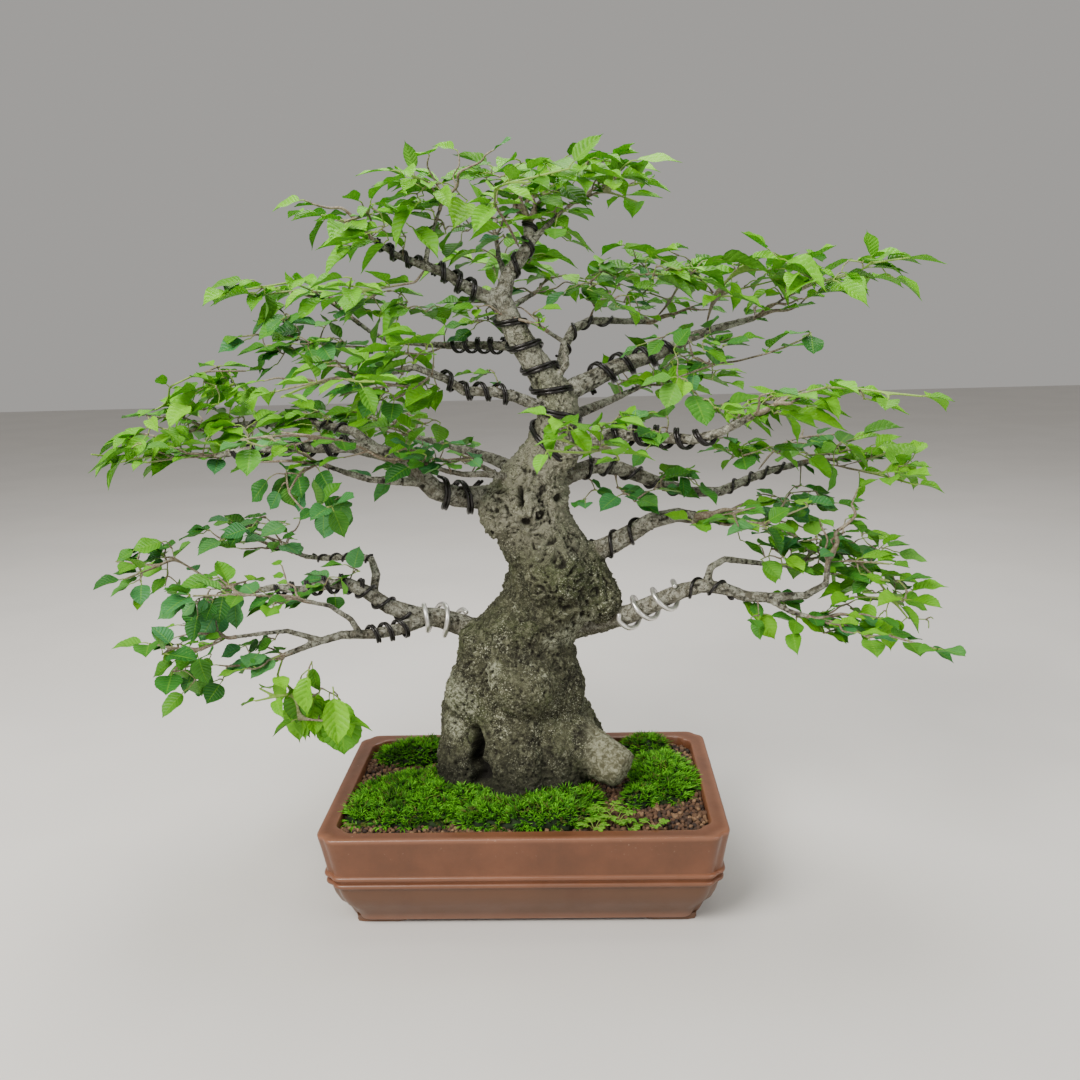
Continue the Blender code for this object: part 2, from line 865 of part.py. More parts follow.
def outer_profile():
    """(inset, height) up the outside, from the edge of the base to the rim."""
    cords = []
    for height, inset in ((CORD_LOWER_HEIGHT, UPPER_TAPER + 0.0012), (CORD_UPPER_HEIGHT, UPPER_TAPER)):
        for angle in (-75, 0, 75):
            turn = math.radians(angle)
            cords.append((inset - CORD_RADIUS * math.cos(turn), height + CORD_RADIUS * math.sin(turn)))
    return [
        (LOWER_TAPER, FOOT_HEIGHT),
        (LOWER_TAPER - 0.006, FOOT_HEIGHT + 0.004),
        (LOWER_TAPER * 0.58, FOOT_HEIGHT + 0.022),
        (UPPER_TAPER + 0.0030, CORD_LOWER_HEIGHT - 0.0034),
        *cords,
        (0.0, POT_HEIGHT - RIM_ROUND),
        (RIM_ROUND, POT_HEIGHT),
    ]


def inner_profile():
    """(inset, height) down the inside, from the rim to the floor."""
    return [
        (RIM_WIDTH - RIM_ROUND * 0.6, POT_HEIGHT),
        (RIM_WIDTH, POT_HEIGHT - RIM_ROUND),
        (RIM_WIDTH + 0.004, POT_HEIGHT * 0.5),
        (LOWER_TAPER + 0.004, inner_floor() + 0.008),
        (LOWER_TAPER + 0.012, inner_floor()),
    ]


def inner_inset(height):
    """How far the inside wall stands in from the rim's outline at a height."""
    profile = inner_profile()
    for (upper_inset, upper), (lower_inset, lower) in zip(profile, profile[1:]):
        if lower <= height <= upper:
            share = (upper - height) / (upper - lower)
            return upper_inset + (lower_inset - upper_inset) * share
    return profile[-1][0]


def block(centre, size, name):
    bm = bmesh.new()
    bmesh.ops.create_cube(bm, size=1.0)
    for vertex in bm.verts:
        vertex.co = Vector(centre) + Vector([c * s for c, s in zip(vertex.co, size)])
    return add_object(name, bm, smooth=False)


def cylinder(centre, radius, height, name, slot=None):
    bm = bmesh.new()
    bmesh.ops.create_cone(
        bm, cap_ends=True, segments=20, radius1=radius, radius2=radius, depth=height
    )
    bmesh.ops.translate(bm, verts=bm.verts, vec=centre)
    return add_object(name, bm, slot)


def drain_centres():
    return {"left": -DRAIN_SPACING / 2, "right": DRAIN_SPACING / 2}


def make_pot():
    profile = outer_profile() + inner_profile()
    pot = add_object("pot", loft([outline(inset, height) for inset, height in profile]), "clay")
    overlap = 0.004
    foot_x = POT_LENGTH / 2 - LOWER_TAPER - FOOT_LENGTH / 2 - 0.004
    foot_y = POT_DEPTH / 2 - LOWER_TAPER - FOOT_WIDTH / 2 - 0.004
    for side, x in (("left", -foot_x), ("right", foot_x)):
        for face, y in (("front", -foot_y), ("back", foot_y)):
            size = (FOOT_LENGTH, FOOT_WIDTH, FOOT_HEIGHT + overlap)
            foot = block((x, y, size[2] / 2), size, f"foot_{face}_{side}")
            combine(pot, foot, "UNION")
    for side, x in drain_centres().items():
        hole = cylinder((x, 0, inner_floor() / 2), DRAIN_RADIUS, inner_floor() * 2, f"drain_{side}")
        combine(pot, hole, "DIFFERENCE")
    return pot


def make_screens():
    height = inner_floor() + CLEARANCE + SCREEN_THICKNESS / 2
    for side, x in drain_centres().items():
        cylinder((x, 0, height), SCREEN_RADIUS, SCREEN_THICKNESS, f"drain_screen_{side}", "screen")


def make_soil():
    bottom = inner_floor() + SCREEN_THICKNESS + 2 * CLEARANCE
    heights = [bottom, inner_floor() + 0.008, POT_HEIGHT * 0.5, soil_top()]
    rings = [outline(inner_inset(height) + 2 * CLEARANCE, height) for height in heights]
    return add_object("soil", loft(rings), "soil", smooth=False)


# ---------------------------------------------------------------------------
# Wood
# ---------------------------------------------------------------------------


def trunk_ring(x, y, z, half_width, half_depth, sides=16):
    """A section with shallow lobes, which fade out above the burls."""
    swell = 0.05 * max(0.0, 1 - z / 0.45)
    points = []
    for i in range(sides):
        a = 2 * math.pi * i / sides
        lobe = 1 + swell * (math.cos(3 * a + 9 * z) + 0.6 * math.cos(5 * a - 14 * z))
        points.append(Vector((x + half_width * lobe * math.cos(a), y + half_depth * lobe * math.sin(a), z)))
    return points


def root_base():
    """How deep the roots reach into the soil."""
    return soil_top() - ROOT_DEPTH


def trunk_body(name, grow=0.0):
    rings = []
    for i, (x, y, z, half_width, half_depth) in enumerate(TRUNK):
        height = root_base() - grow if i == 0 else z
        rings.append(trunk_ring(x, y, height, half_width + grow, half_depth + grow))
    return loft(rings)


def root_shapes(prefix, grow=0.0):
    """The roots as helper tubes."""
    shapes = []
    for name, (start, end, route) in ROOTS.items():
        points, radii = tapered(route, start, end, grow)
        shapes.append(add_object(f"{prefix}_{name}", tube(points, radii, 9)))
    return shapes


def make_wood():
    wood = add_object("trunk_and_branches", trunk_body("trunk"), "bark")
    for root in root_shapes("root"):
        combine(wood, root, "UNION")
    for name, (x, y, z, radius) in BURLS.items():
        bm = bmesh.new()
        bmesh.ops.create_icosphere(bm, subdivisions=2, radius=radius)
        bmesh.ops.translate(bm, verts=bm.verts, vec=(x, y, z))
        combine(wood, add_object(f"burl_{name}", bm), "UNION")
    for name, (start, end, route) in BRANCHES.items():
        points, radii = tapered(route, start, end)
        sides = 7 if start > 0.008 else 5
        combine(wood, add_object(f"branch_{name}", tube(points, radii, sides)), "UNION")
    return wood


def cut_root_pocket(target):
    """Takes the room of the trunk's foot and of the roots out of the target."""
    trunk = add_object(f"pocket_trunk_{target.name}", trunk_body("pocket", 2 * CLEARANCE))
    combine(target, trunk, "DIFFERENCE")
    for root in root_shapes(f"pocket_{target.name}", 2 * CLEARANCE):
        combine(target, root, "DIFFERENCE")


# ---------------------------------------------------------------------------
# Moss
# ---------------------------------------------------------------------------


def make_moss():
    """Low domes with wavy outlines, cut where the roots stand in them."""
    rows = ((1.0, 0.0), (0.97, 0.35), (0.80, 0.72), (0.45, 0.95))
    for number, (name, (x, y, half_length, half_depth, height)) in enumerate(MOSS.items()):
        rings = []
        for spread, rise in rows:
            ring = []
            for i in range(14):
                a = 2 * math.pi * i / 14
                reach = spread * (1 + 0.10 * math.sin(3 * a + number) + 0.06 * math.cos(5 * a))
                ring.append(
                    Vector(
                        (
                            x + half_length * reach * math.cos(a),
                            y + half_depth * reach * math.sin(a),
                            soil_top() + CLEARANCE + height * rise,
                        )
                    )
                )
            rings.append(ring)
        cut_root_pocket(add_object(f"moss_{name}", loft(rings), "moss"))


# ---------------------------------------------------------------------------
# Training wires
# ---------------------------------------------------------------------------


def pushed_clear(point, surface, distance):
    """The point, moved straight out of the wood until it is this far from the surface."""
    for _ in range(4):
        nearest, normal, _, gap = surface.find_nearest(point)
        inside = (point - nearest).dot(normal) < 0
        if gap >= distance and not inside:
            break
        point = nearest + normal * (distance * 1.05)
    return point


def make_wires(wood_surface):
    for name, (branch, first, last, turns, radius, start_angle, slot) in WIRES.items():
        start, end, route = BRANCHES[branch]
        count = turns * WIRE_POINTS_PER_TURN + 1
        stations = []
        for i in range(count):
            stations.append(point_along(route, start, end, first + (last - first) * i / (count - 1)))
        frames = frames_along([place for place, _, _ in stations])
        sag = 1 / math.cos(math.pi / WIRE_POINTS_PER_TURN)
        points = []
        for i, ((place, _, wood_radius), (_, side, up)) in enumerate(zip(stations, frames)):
            angle = 2 * math.pi * (start_angle + i / WIRE_POINTS_PER_TURN)
            reach = (wood_radius + radius + WIRE_CLEARANCE) * sag
            point = place + side * (reach * math.cos(angle)) + up * (reach * math.sin(angle))
            points.append(pushed_clear(point, wood_surface, radius + 2 * WIRE_CLEARANCE))
        body = tube(points, [radius] * count, WIRE_SIDES)
        add_object(f"wire_{name}", body, slot)


# ---------------------------------------------------------------------------
# Leafy sprays
# ---------------------------------------------------------------------------


def smooth_route(points, step):
    """Evenly stepped points on a smooth curve through the given ones."""
    padded = [points[0] * 2 - points[1], *points, points[-1] * 2 - points[-2]]
    fine = []
    for a, b, c, d in zip(padded, padded[1:], padded[2:], padded[3:]):
        for i in range(12):
            t = i / 12
            fine.append(
                0.5
                * (
                    2 * b
                    + (c - a) * t
                    + (2 * a - 5 * b + 4 * c - d) * t * t
                    + (3 * b - a - 3 * c + d) * t * t * t
                )
            )
    fine.append(points[-1])
    even = [fine[0]]
    since = 0.0
    for before, after in zip(fine, fine[1:]):
        since += (after - before).length
        if since >= step:
            even.append(after)
            since = 0.0
    return even


def square_section(centre, frame, half_side, half_up):
    """Four corners, counter-clockwise seen from ahead: the faces between look up, left, down, right."""
    _, side, up = frame
    signs = ((1, 1), (-1, 1), (-1, -1), (1, -1))
    return [centre + side * (half_side * a) + up * (half_up * b) for a, b in signs]


def best_turn(corners, section):
    """The section's corners, started where they meet the face's corners with least twist."""
    middle = sum((vertex.co for vertex in corners), Vector()) / 4
    centre = sum(section, Vector()) / 4
    size = max((point - centre).length for point in section)
    reach = max((vertex.co - middle).length for vertex in corners)

    def twist(turn):
        return sum(
            ((vertex.co - middle) / reach - (section[(i + turn) % 4] - centre) / size).length_squared
            for i, vertex in enumerate(corners)
        )

    turn = min(range(4), key=twist)
    return [section[(i + turn) % 4] for i in range(4)]


def hull_faces(quads, tip=None):
    """Points and faces of a chain of four-sided sections, for a search tree."""
    points = [point for quad in quads for point in quad]
    faces = []
    for row in range(len(quads) - 1):
        for i in range(4):
            low = row * 4
            after = (i + 1) % 4
            faces.append((low + i, low + after, low + 4 + after, low + 4 + i))
    if tip is not None:
        last = (len(quads) - 1) * 4
        points.append(tip)
        faces.extend((last + i, last + (i + 1) % 4, len(points) - 1) for i in range(4))
    return points, faces


def in_canopy(point):
    return (
        abs(point.x) < CANOPY_HALF_LENGTH
        and abs(point.y) < CANOPY_HALF_DEPTH
        and point.z < CANOPY_TOP
    )


class Spray:
    """One closed body: square-sectioned shoots, with leaves grown out of their short faces."""

    def __init__(self, leaf_length, draw):
        self.bm = bmesh.new()
        self.leaf_length = leaf_length
        self.draw = draw
        self.buds = []
        self.surface = None

    def grow_shoot(self, points, radius, base=None, heading=None):
        """Adds a shoot along the points, from a face of another shoot or from its own cap."""
        frames = frames_along(points, heading)
        sections = []
        for i, (point, frame) in enumerate(zip(points, frames)):
            thin = radius * (1 - 0.45 * i / len(points))
            if i == 0:
                if base is None:
                    sections.append((square_section(point, frame, thin, thin), None))
                continue
            ahead = frame[0] * (TWIG_NODE / 2)
            sections.append((square_section(point - ahead, frame, thin, thin), None))
            sections.append((square_section(point + ahead, frame, thin, thin), frame))
        rows = []
        if base is not None:
            corners = list(base.verts)
            self.bm.faces.remove(base)
            rows.append(corners)
            turned = best_turn(corners, sections[0][0])
            shift = sections[0][0].index(turned[0])
        else:
            shift = 0
        for section, _ in sections:
            rows.append([self.bm.verts.new(section[(i + shift) % 4]) for i in range(4)])
        if base is None:
            self.bm.faces.new(reversed(rows[0]))
        for number, (lower, upper) in enumerate(zip(rows, rows[1:])):
            frame = sections[number if base is not None else number + 1][1]
            for i in range(4):
                after = (i + 1) % 4
                face = self.bm.faces.new((lower[i], lower[after], upper[after], upper[i]))
                if frame:
                    self.buds.append((face, frame[0]))
        end = self.bm.faces.new(rows[-1])
        self.buds.append((end, frames[-1][0]))

    def surface_tree(self):
        """A search tree of the spray as it stands, made again after each change."""
        if self.surface is None:
            self.surface = BVHTree.FromBMesh(self.bm)
        return self.surface

    def clear_of(self, quads, tip, others):
        """Whether the chain of sections stays in the canopy and touches no spray or other piece."""
        points, faces = hull_faces(quads, tip)
        if not all(in_canopy(point) for point in points):
            return False
        tree = BVHTree.FromPolygons(points, faces)
        return not any(tree.overlap(other) for other in (self.surface_tree(), *others))

    def side_shoot(self, others):
        """Grows one side shoot from a bud picked at random. It gives up after some tries."""
        draw = self.draw
        for _ in range(14):
            face, ahead = draw.choice(self.buds)
            face.normal_update()
            outward = face.normal.copy()
            if abs(outward.z) > 0.8 and draw.random() < 0.8:
                continue
            way = outward + ahead * draw.uniform(0.3, 1.0)
            way.z = 0.0
            way = way.normalized() + Vector((0, 0, draw.uniform(-0.25, 0.35)))
            start = face.calc_center_median()
            count = draw.choice((1, 2, 2))
            step = self.leaf_length * draw.uniform(0.6, 0.85)
            bend = Vector((draw.uniform(-1, 1), draw.uniform(-1, 1), draw.uniform(-0.4, 0.4)))
            points = [start + way * 0.001]
            for i in range(1, count + 1):
                points.append(start + way * (step * i) + bend * (0.12 * step * i * i / count))
            radius = TWIG_RADIUS * 0.85
            frames = frames_along(points)
            quads = [
                square_section(point, frame, radius * 2.2, radius * 2.2)
                for point, frame in zip(points, frames)
            ]
            quads[0] = square_section(points[0] + way * 0.004, frames[0], radius, radius)
            if not self.clear_of(quads, None, others):
                continue
            self.buds.remove((face, ahead))
            self.grow_shoot(points, radius, face)
            self.surface = None
            return

    def leaf(self, face, ahead, others):
        """Grows one leaf out of the face, if there is room. Its widest section comes first."""
        draw = self.draw
        face.normal_update()
        outward = face.normal.copy()
        start = face.calc_center_median()
        for _ in range(5):
            length = self.leaf_length * draw.uniform(0.72, 1.12)
            way = outward + ahead * draw.uniform(0.2, 0.9)
            way += Vector((draw.uniform(-0.3, 0.3), draw.uniform(-0.3, 0.3), draw.uniform(-0.5, 0.15)))
            way.normalize()
            up = Vector((draw.uniform(-0.5, 0.5), draw.uniform(-0.7, 0.2), 1.0))
            side = way.cross(up).normalized()
            up = side.cross(way).normalized()
            frame = (way, up.cross(way), up)
            half = length * LEAF_WIDTH_SHARE / 2
            middle = start + way * (length * LEAF_WIDEST_AT) + up * (0.05 * length)
            tip = start + way * length
            section = square_section(middle, frame, half, LEAF_THICKNESS / 2)
            room = square_section(middle, frame, half + 0.001, LEAF_THICKNESS / 2 + 0.0007)
            root = square_section(start + way * 0.003, frame, 0.0035, 0.0012)
            if not self.clear_of([root, room], tip + way * 0.001, others):
                continue
            corners = list(face.verts)
            self.bm.faces.remove(face)
            upper = [self.bm.verts.new(point) for point in best_turn(corners, section)]
            bridge(self.bm, corners, upper)
            end = self.bm.verts.new(tip)
            for i in range(4):
                self.bm.faces.new((upper[i], upper[(i + 1) % 4], end))
            self.surface = None
            return True
        return False

    def leaves(self, others, most):
        """Fills the buds: ends first, then the sides in a shuffled order."""
        buds = [bud for bud in self.buds if bud[0].is_valid]
        self.draw.shuffle(buds)
        buds.sort(key=lambda bud: bud[0].normal.dot(bud[1]) < 0.8)
        grown = 0
        for face, ahead in buds:
            if grown >= most:
                break
            face.normal_update()
            if abs(face.normal.z) > 0.75 and self.draw.random() < 0.6:
                continue
            grown += self.leaf(face, ahead, others)


def make_sprays(obstacles):
    """All the shoots first, so that no leaf takes the place of another spray's shoot."""
    sprays = {}
    for number, (name, ((branch, share), route, (shoots, leaf_length, age))) in enumerate(SPRAYS.items()):
        start, end, branch_route = BRANCHES[branch]
        place, ahead, radius = point_along(branch_route, start, end, share)
        points = [Vector(point) for point in route]
        if share == 1.0:
            leaving = ahead
            first = place + ahead * (2 * CLEARANCE)
        else:
            leaving = points[0] - place
            leaving = (leaving - ahead * leaving.dot(ahead)).normalized()
            first = place + leaving * (radius + 4 * CLEARANCE)
        spray = Spray(leaf_length, random.Random(SEED + number))
        step = leaf_length * 0.9
        spray.grow_shoot(smooth_route([first, *points], step), TWIG_RADIUS, heading=leaving)
        sprays[name] = (spray, shoots, age)
    for name, (spray, shoots, _) in sprays.items():
        others = [other.surface_tree() for key, (other, _, _) in sprays.items() if key != name]
        for _ in range(shoots):
            spray.side_shoot([*obstacles, *others])
    for name, (spray, _, _) in sprays.items():
        others = [other.surface_tree() for key, (other, _, _) in sprays.items() if key != name]
        spray.leaves([*obstacles, *others], LEAVES_PER_SPRAY)
    for name, (spray, _, age) in sprays.items():
        add_object(f"spray_{name}", spray.bm, age)


def make_sprig():
    """A seedling: one upright stem with leaflets."""
    x, y = SPRIG_PLACE
    base = Vector((x, y, soil_top() + CLEARANCE))
    sprig = Spray(SPRIG_HEIGHT * 0.5, random.Random(SEED))
    steps = 3
    points = [base + Vector((0, 0, SPRIG_HEIGHT * i / steps)) for i in range(steps + 1)]
    sprig.grow_shoot(points, TWIG_RADIUS)
    sprig.leaves([], 8)
    return add_object("sprig_front", sprig.bm, YOUNG)


# ---------------------------------------------------------------------------
# The whole part
# ---------------------------------------------------------------------------


def main():
    for obj in list(bpy.data.objects):
        bpy.data.objects.remove(obj, do_unlink=True)
    make_pot()
    make_screens()
    wood = make_wood()
    soil = make_soil()
    cut_root_pocket(soil)
    make_moss()
    wood_surface = surface_of(wood)
    make_wires(wood_surface)
    make_sprig()
    bpy.context.view_layer.update()
    graph = bpy.context.evaluated_depsgraph_get()
    shown = [obj for obj in bpy.context.scene.objects if not obj.hide_render]
    make_sprays([BVHTree.FromObject(obj, graph) for obj in shown])


main()
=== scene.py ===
import json
import math
import random

import bmesh
import bpy
import numpy as np
from mathutils import Matrix, Vector, noise
from mathutils.bvhtree import BVHTree

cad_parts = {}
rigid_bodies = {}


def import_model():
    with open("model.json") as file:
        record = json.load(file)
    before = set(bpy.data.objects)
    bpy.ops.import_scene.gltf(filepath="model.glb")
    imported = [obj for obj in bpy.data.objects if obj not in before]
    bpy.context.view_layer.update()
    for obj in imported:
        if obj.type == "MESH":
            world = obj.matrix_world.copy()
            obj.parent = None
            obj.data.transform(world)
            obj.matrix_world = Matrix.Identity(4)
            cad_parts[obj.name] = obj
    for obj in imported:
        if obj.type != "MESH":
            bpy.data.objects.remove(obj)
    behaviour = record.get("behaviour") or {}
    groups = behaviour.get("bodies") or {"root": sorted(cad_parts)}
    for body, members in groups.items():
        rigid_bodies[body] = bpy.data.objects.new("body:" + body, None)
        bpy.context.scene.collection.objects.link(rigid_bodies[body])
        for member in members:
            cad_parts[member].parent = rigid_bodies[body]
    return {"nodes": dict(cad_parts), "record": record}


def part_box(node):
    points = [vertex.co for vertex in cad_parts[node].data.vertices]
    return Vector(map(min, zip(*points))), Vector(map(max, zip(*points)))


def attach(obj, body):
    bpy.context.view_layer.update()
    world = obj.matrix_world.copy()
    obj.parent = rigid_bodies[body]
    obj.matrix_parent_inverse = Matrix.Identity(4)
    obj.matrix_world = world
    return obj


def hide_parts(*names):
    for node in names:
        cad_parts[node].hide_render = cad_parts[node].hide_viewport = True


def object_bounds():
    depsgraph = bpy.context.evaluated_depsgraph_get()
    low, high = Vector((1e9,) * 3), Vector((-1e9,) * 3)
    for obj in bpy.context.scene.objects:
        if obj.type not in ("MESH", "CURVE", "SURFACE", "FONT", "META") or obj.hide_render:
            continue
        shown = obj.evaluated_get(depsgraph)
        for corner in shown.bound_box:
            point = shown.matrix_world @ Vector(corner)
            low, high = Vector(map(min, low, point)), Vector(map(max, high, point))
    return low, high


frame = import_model()
NODES = frame["nodes"]
CAD_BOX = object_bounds()
POT_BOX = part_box("pot")
SOIL_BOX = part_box("soil")

bl_info = {
    "name": "Bonsai Tree",
    "version": (1, 0, 0),
    "blender": (4, 5, 0),
    "location": "3D View > Sidebar > Bonsai",
    "description": "Grows the looks of a wired bonsai tree in a clay pot around its solid frame",
    "category": "Object",
}

ROOT = "root"
UP = Vector((0, 0, 1))


# ---------------------------------------------------------------------------
# Pieces
# ---------------------------------------------------------------------------


def add_piece(name, mesh, materials, replaces=(), smooth=True):
    """Puts the mesh in the scene as a piece that stands for the given nodes."""
    piece = bpy.data.objects.new(name, mesh)
    bpy.context.scene.collection.objects.link(piece)
    for material in materials:
        mesh.materials.append(material)
    if smooth:
        mesh.shade_smooth()
    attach(piece, ROOT)
    if replaces:
        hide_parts(*replaces)
    return piece


def mesh_of(name, points, faces, marks=None):
    """A mesh with point attributes, one per name in marks."""
    mesh = bpy.data.meshes.new(name)
    mesh.from_pydata([tuple(map(float, p)) for p in points], [], faces)
    for key, values in (marks or {}).items():
        layer = mesh.attributes.new(key, "FLOAT", "POINT")
        layer.data.foreach_set("value", np.asarray(values, np.float32))
    return mesh


class Bundle:
    """Collects many small shapes, each with its own marks, into one mesh."""

    def __init__(self, *marks):
        self.points, self.faces, self.count = [], [], 0
        self.marks = {mark: [] for mark in marks}

    def add(self, points, faces, **marks):
        points = np.asarray(points, float)
        self.points.append(points)
        self.faces.extend(tuple(i + self.count for i in face) for face in faces)
        self.count += len(points)
        for key, values in self.marks.items():
            values.append(np.broadcast_to(np.asarray(marks[key], float), (len(points),)))

    def mesh(self, name):
        marks = {key: np.concatenate(values) for key, values in self.marks.items()}
        return mesh_of(name, np.concatenate(self.points), self.faces, marks)


def welded(node):
    """The node's own mesh with its split corners joined again."""
    bm = bmesh.new()
    bm.from_mesh(NODES[node].data)
    bmesh.ops.remove_doubles(bm, verts=bm.verts, dist=1e-5)
    bm.verts.ensure_lookup_table()
    bm.verts.index_update()
    bm.edges.index_update()
    return bm


def in_order(elements):
    """Each element once, in the mesh's own order, so that every run adds them up alike."""
    return sorted(set(elements), key=lambda element: element.index)


def nodes_named(prefix):
    return sorted(name for name in NODES if name.startswith(prefix))


def smooth_line(points, steps):
    """Points on a soft curve through the given ones, so many to each stretch."""
    points = [np.asarray(p, float) for p in points]
    padded = [2 * points[0] - points[1], *points, 2 * points[-1] - points[-2]]
    out = []
    for a, b, c, d in zip(padded, padded[1:], padded[2:], padded[3:]):
        for i in range(steps):
            t = i / steps
            square = (2 * a - 5 * b + 4 * c - d) * t**2
            cube = (3 * b - a - 3 * c + d) * t**3
            out.append(0.5 * (2 * b + (c - a) * t + square + cube))
    out.append(points[-1])
    return np.array(out)


def band_faces(rows, around):
    """Faces of a closed band of rings, with a face over its first and its last ring."""
    faces = []
    for row in range(rows - 1):
        low, high = row * around, (row + 1) * around
        for i in range(around):
            j = (i + 1) % around
            faces.append((low + i, low + j, high + j, high + i))
    faces.append(tuple(reversed(range(around))))
    faces.append(tuple((rows - 1) * around + i for i in range(around)))
    return faces

def tube_shape(points, radii, sides, rounded=False):
    """Points and faces of a closed tube along the line, with plain or rounded ends."""
    points = np.asarray(points, float)
    radii = np.broadcast_to(np.asarray(radii, float), (len(points),)).copy()
    if rounded:
        first = (points[0] - points[1]) / max(np.linalg.norm(points[0] - points[1]), 1e-9)
        last = (points[-1] - points[-2]) / max(np.linalg.norm(points[-1] - points[-2]), 1e-9)
        points = np.vstack([points[0] + first * radii[0] * 0.5, points, points[-1] + last * radii[-1] * 0.5])
        radii = np.concatenate([[radii[0] * 0.6], radii, [radii[-1] * 0.6]])
    tangents = np.gradient(points, axis=0)
    tangents /= np.maximum(np.linalg.norm(tangents, axis=1), 1e-9)[:, None]
    up = np.array([0, 0, 1.0]) if abs(tangents[0][2]) < 0.9 else np.array([0, 1.0, 0])
    angles = 2 * math.pi * np.arange(sides) / sides
    rings = []
    for point, tangent, radius in zip(points, tangents, radii):
        up = up - tangent * (up @ tangent)
        up /= max(np.linalg.norm(up), 1e-9)
        side = np.cross(up, tangent)
        rings.append(point + radius * (np.outer(np.cos(angles), side) + np.outer(np.sin(angles), up)))
    return np.concatenate(rings), band_faces(len(points), sides)


# ---------------------------------------------------------------------------
# Finishes
# ---------------------------------------------------------------------------


class Finish:
    """Builds one material node by node."""

    def __init__(self, name):
        self.material = bpy.data.materials.new(name)
        self.material.use_nodes = True
        self.tree = self.material.node_tree
        self.shader = self.tree.nodes["Principled BSDF"]
        self.place = self.tree.nodes.new("ShaderNodeTexCoord").outputs["Object"]

    def link(self, source, socket):
        self.tree.links.new(source, socket)

    def feed(self, socket, value):
        if isinstance(value, bpy.types.NodeSocket):
            self.link(value, socket)
        elif isinstance(value, tuple) and len(value) == 3 and socket.type == "RGBA":
            socket.default_value = (*value, 1.0)
        else:
            socket.default_value = value

    def mark(self, name):
        node = self.tree.nodes.new("ShaderNodeAttribute")
        node.attribute_name = name
        return node.outputs["Fac"]

    def noise(self, scale, detail=4.0, roughness=0.6, warp=0.0, at=None):
        node = self.tree.nodes.new("ShaderNodeTexNoise")
        node.inputs["Scale"].default_value = scale
        node.inputs["Detail"].default_value = detail
        node.inputs["Roughness"].default_value = roughness
        node.inputs["Distortion"].default_value = warp
        self.link(at or self.place, node.inputs["Vector"])
        return node.outputs["Fac"]

    def cells(self, scale):
        node = self.tree.nodes.new("ShaderNodeTexVoronoi")
        node.inputs["Scale"].default_value = scale
        self.link(self.place, node.inputs["Vector"])
        return node.outputs["Distance"]

    def stretched(self, scale):
        node = self.tree.nodes.new("ShaderNodeMapping")
        self.link(self.place, node.inputs["Vector"])
        node.inputs["Scale"].default_value = scale
        return node.outputs["Vector"]

    def split(self, index):
        node = self.tree.nodes.new("ShaderNodeSeparateXYZ")
        self.link(self.place, node.inputs[0])
        return node.outputs[index]

    def range(self, value, low, high, to_low=0.0, to_high=1.0):
        node = self.tree.nodes.new("ShaderNodeMapRange")
        node.interpolation_type = "SMOOTHSTEP"
        for key, number in (("From Min", low), ("From Max", high), ("To Min", to_low), ("To Max", to_high)):
            node.inputs[key].default_value = number
        self.feed(node.inputs["Value"], value)
        return node.outputs["Result"]

    def math(self, operation, a, b=0.0):
        node = self.tree.nodes.new("ShaderNodeMath")
        node.operation = operation
        self.feed(node.inputs[0], a)
        self.feed(node.inputs[1], b)
        return node.outputs[0]

    def mix(self, share, a, b):
        node = self.tree.nodes.new("ShaderNodeMix")
        node.data_type = "RGBA"
        sockets = [s for s in node.inputs if s.type == "RGBA"]
        self.feed(node.inputs[0], share)
        self.feed(sockets[0], a)
        self.feed(sockets[1], b)
        return [s for s in node.outputs if s.type == "RGBA"][0]

    def bump(self, height, strength, distance, after=None):
        node = self.tree.nodes.new("ShaderNodeBump")
        node.inputs["Strength"].default_value = strength
        node.inputs["Distance"].default_value = distance
        self.link(height, node.inputs["Height"])
        if after:
            self.link(after, node.inputs["Normal"])
        return node.outputs["Normal"]

    def done(self, colour, roughness, normal=None, **fixed):
        self.feed(self.shader.inputs["Base Color"], colour)
        self.feed(self.shader.inputs["Roughness"], roughness)
        if normal:
            self.link(normal, self.shader.inputs["Normal"])
        for key, value in fixed.items():
            self.feed(self.shader.inputs[key.replace("_", " ").title().replace("Ior", "IOR")], value)
        return self.material

    def glow_through(self, colour, share):
        """Lets part of the light pass through a thin sheet."""
        through = self.tree.nodes.new("ShaderNodeBsdfTranslucent")
        self.feed(through.inputs["Color"], colour)
        both = self.tree.nodes.new("ShaderNodeMixShader")
        both.inputs[0].default_value = share
        self.link(self.shader.outputs[0], both.inputs[1])
        self.link(through.outputs[0], both.inputs[2])
        output = next(n for n in self.tree.nodes if n.type == "OUTPUT_MATERIAL")
        self.link(both.outputs[0], output.inputs["Surface"])


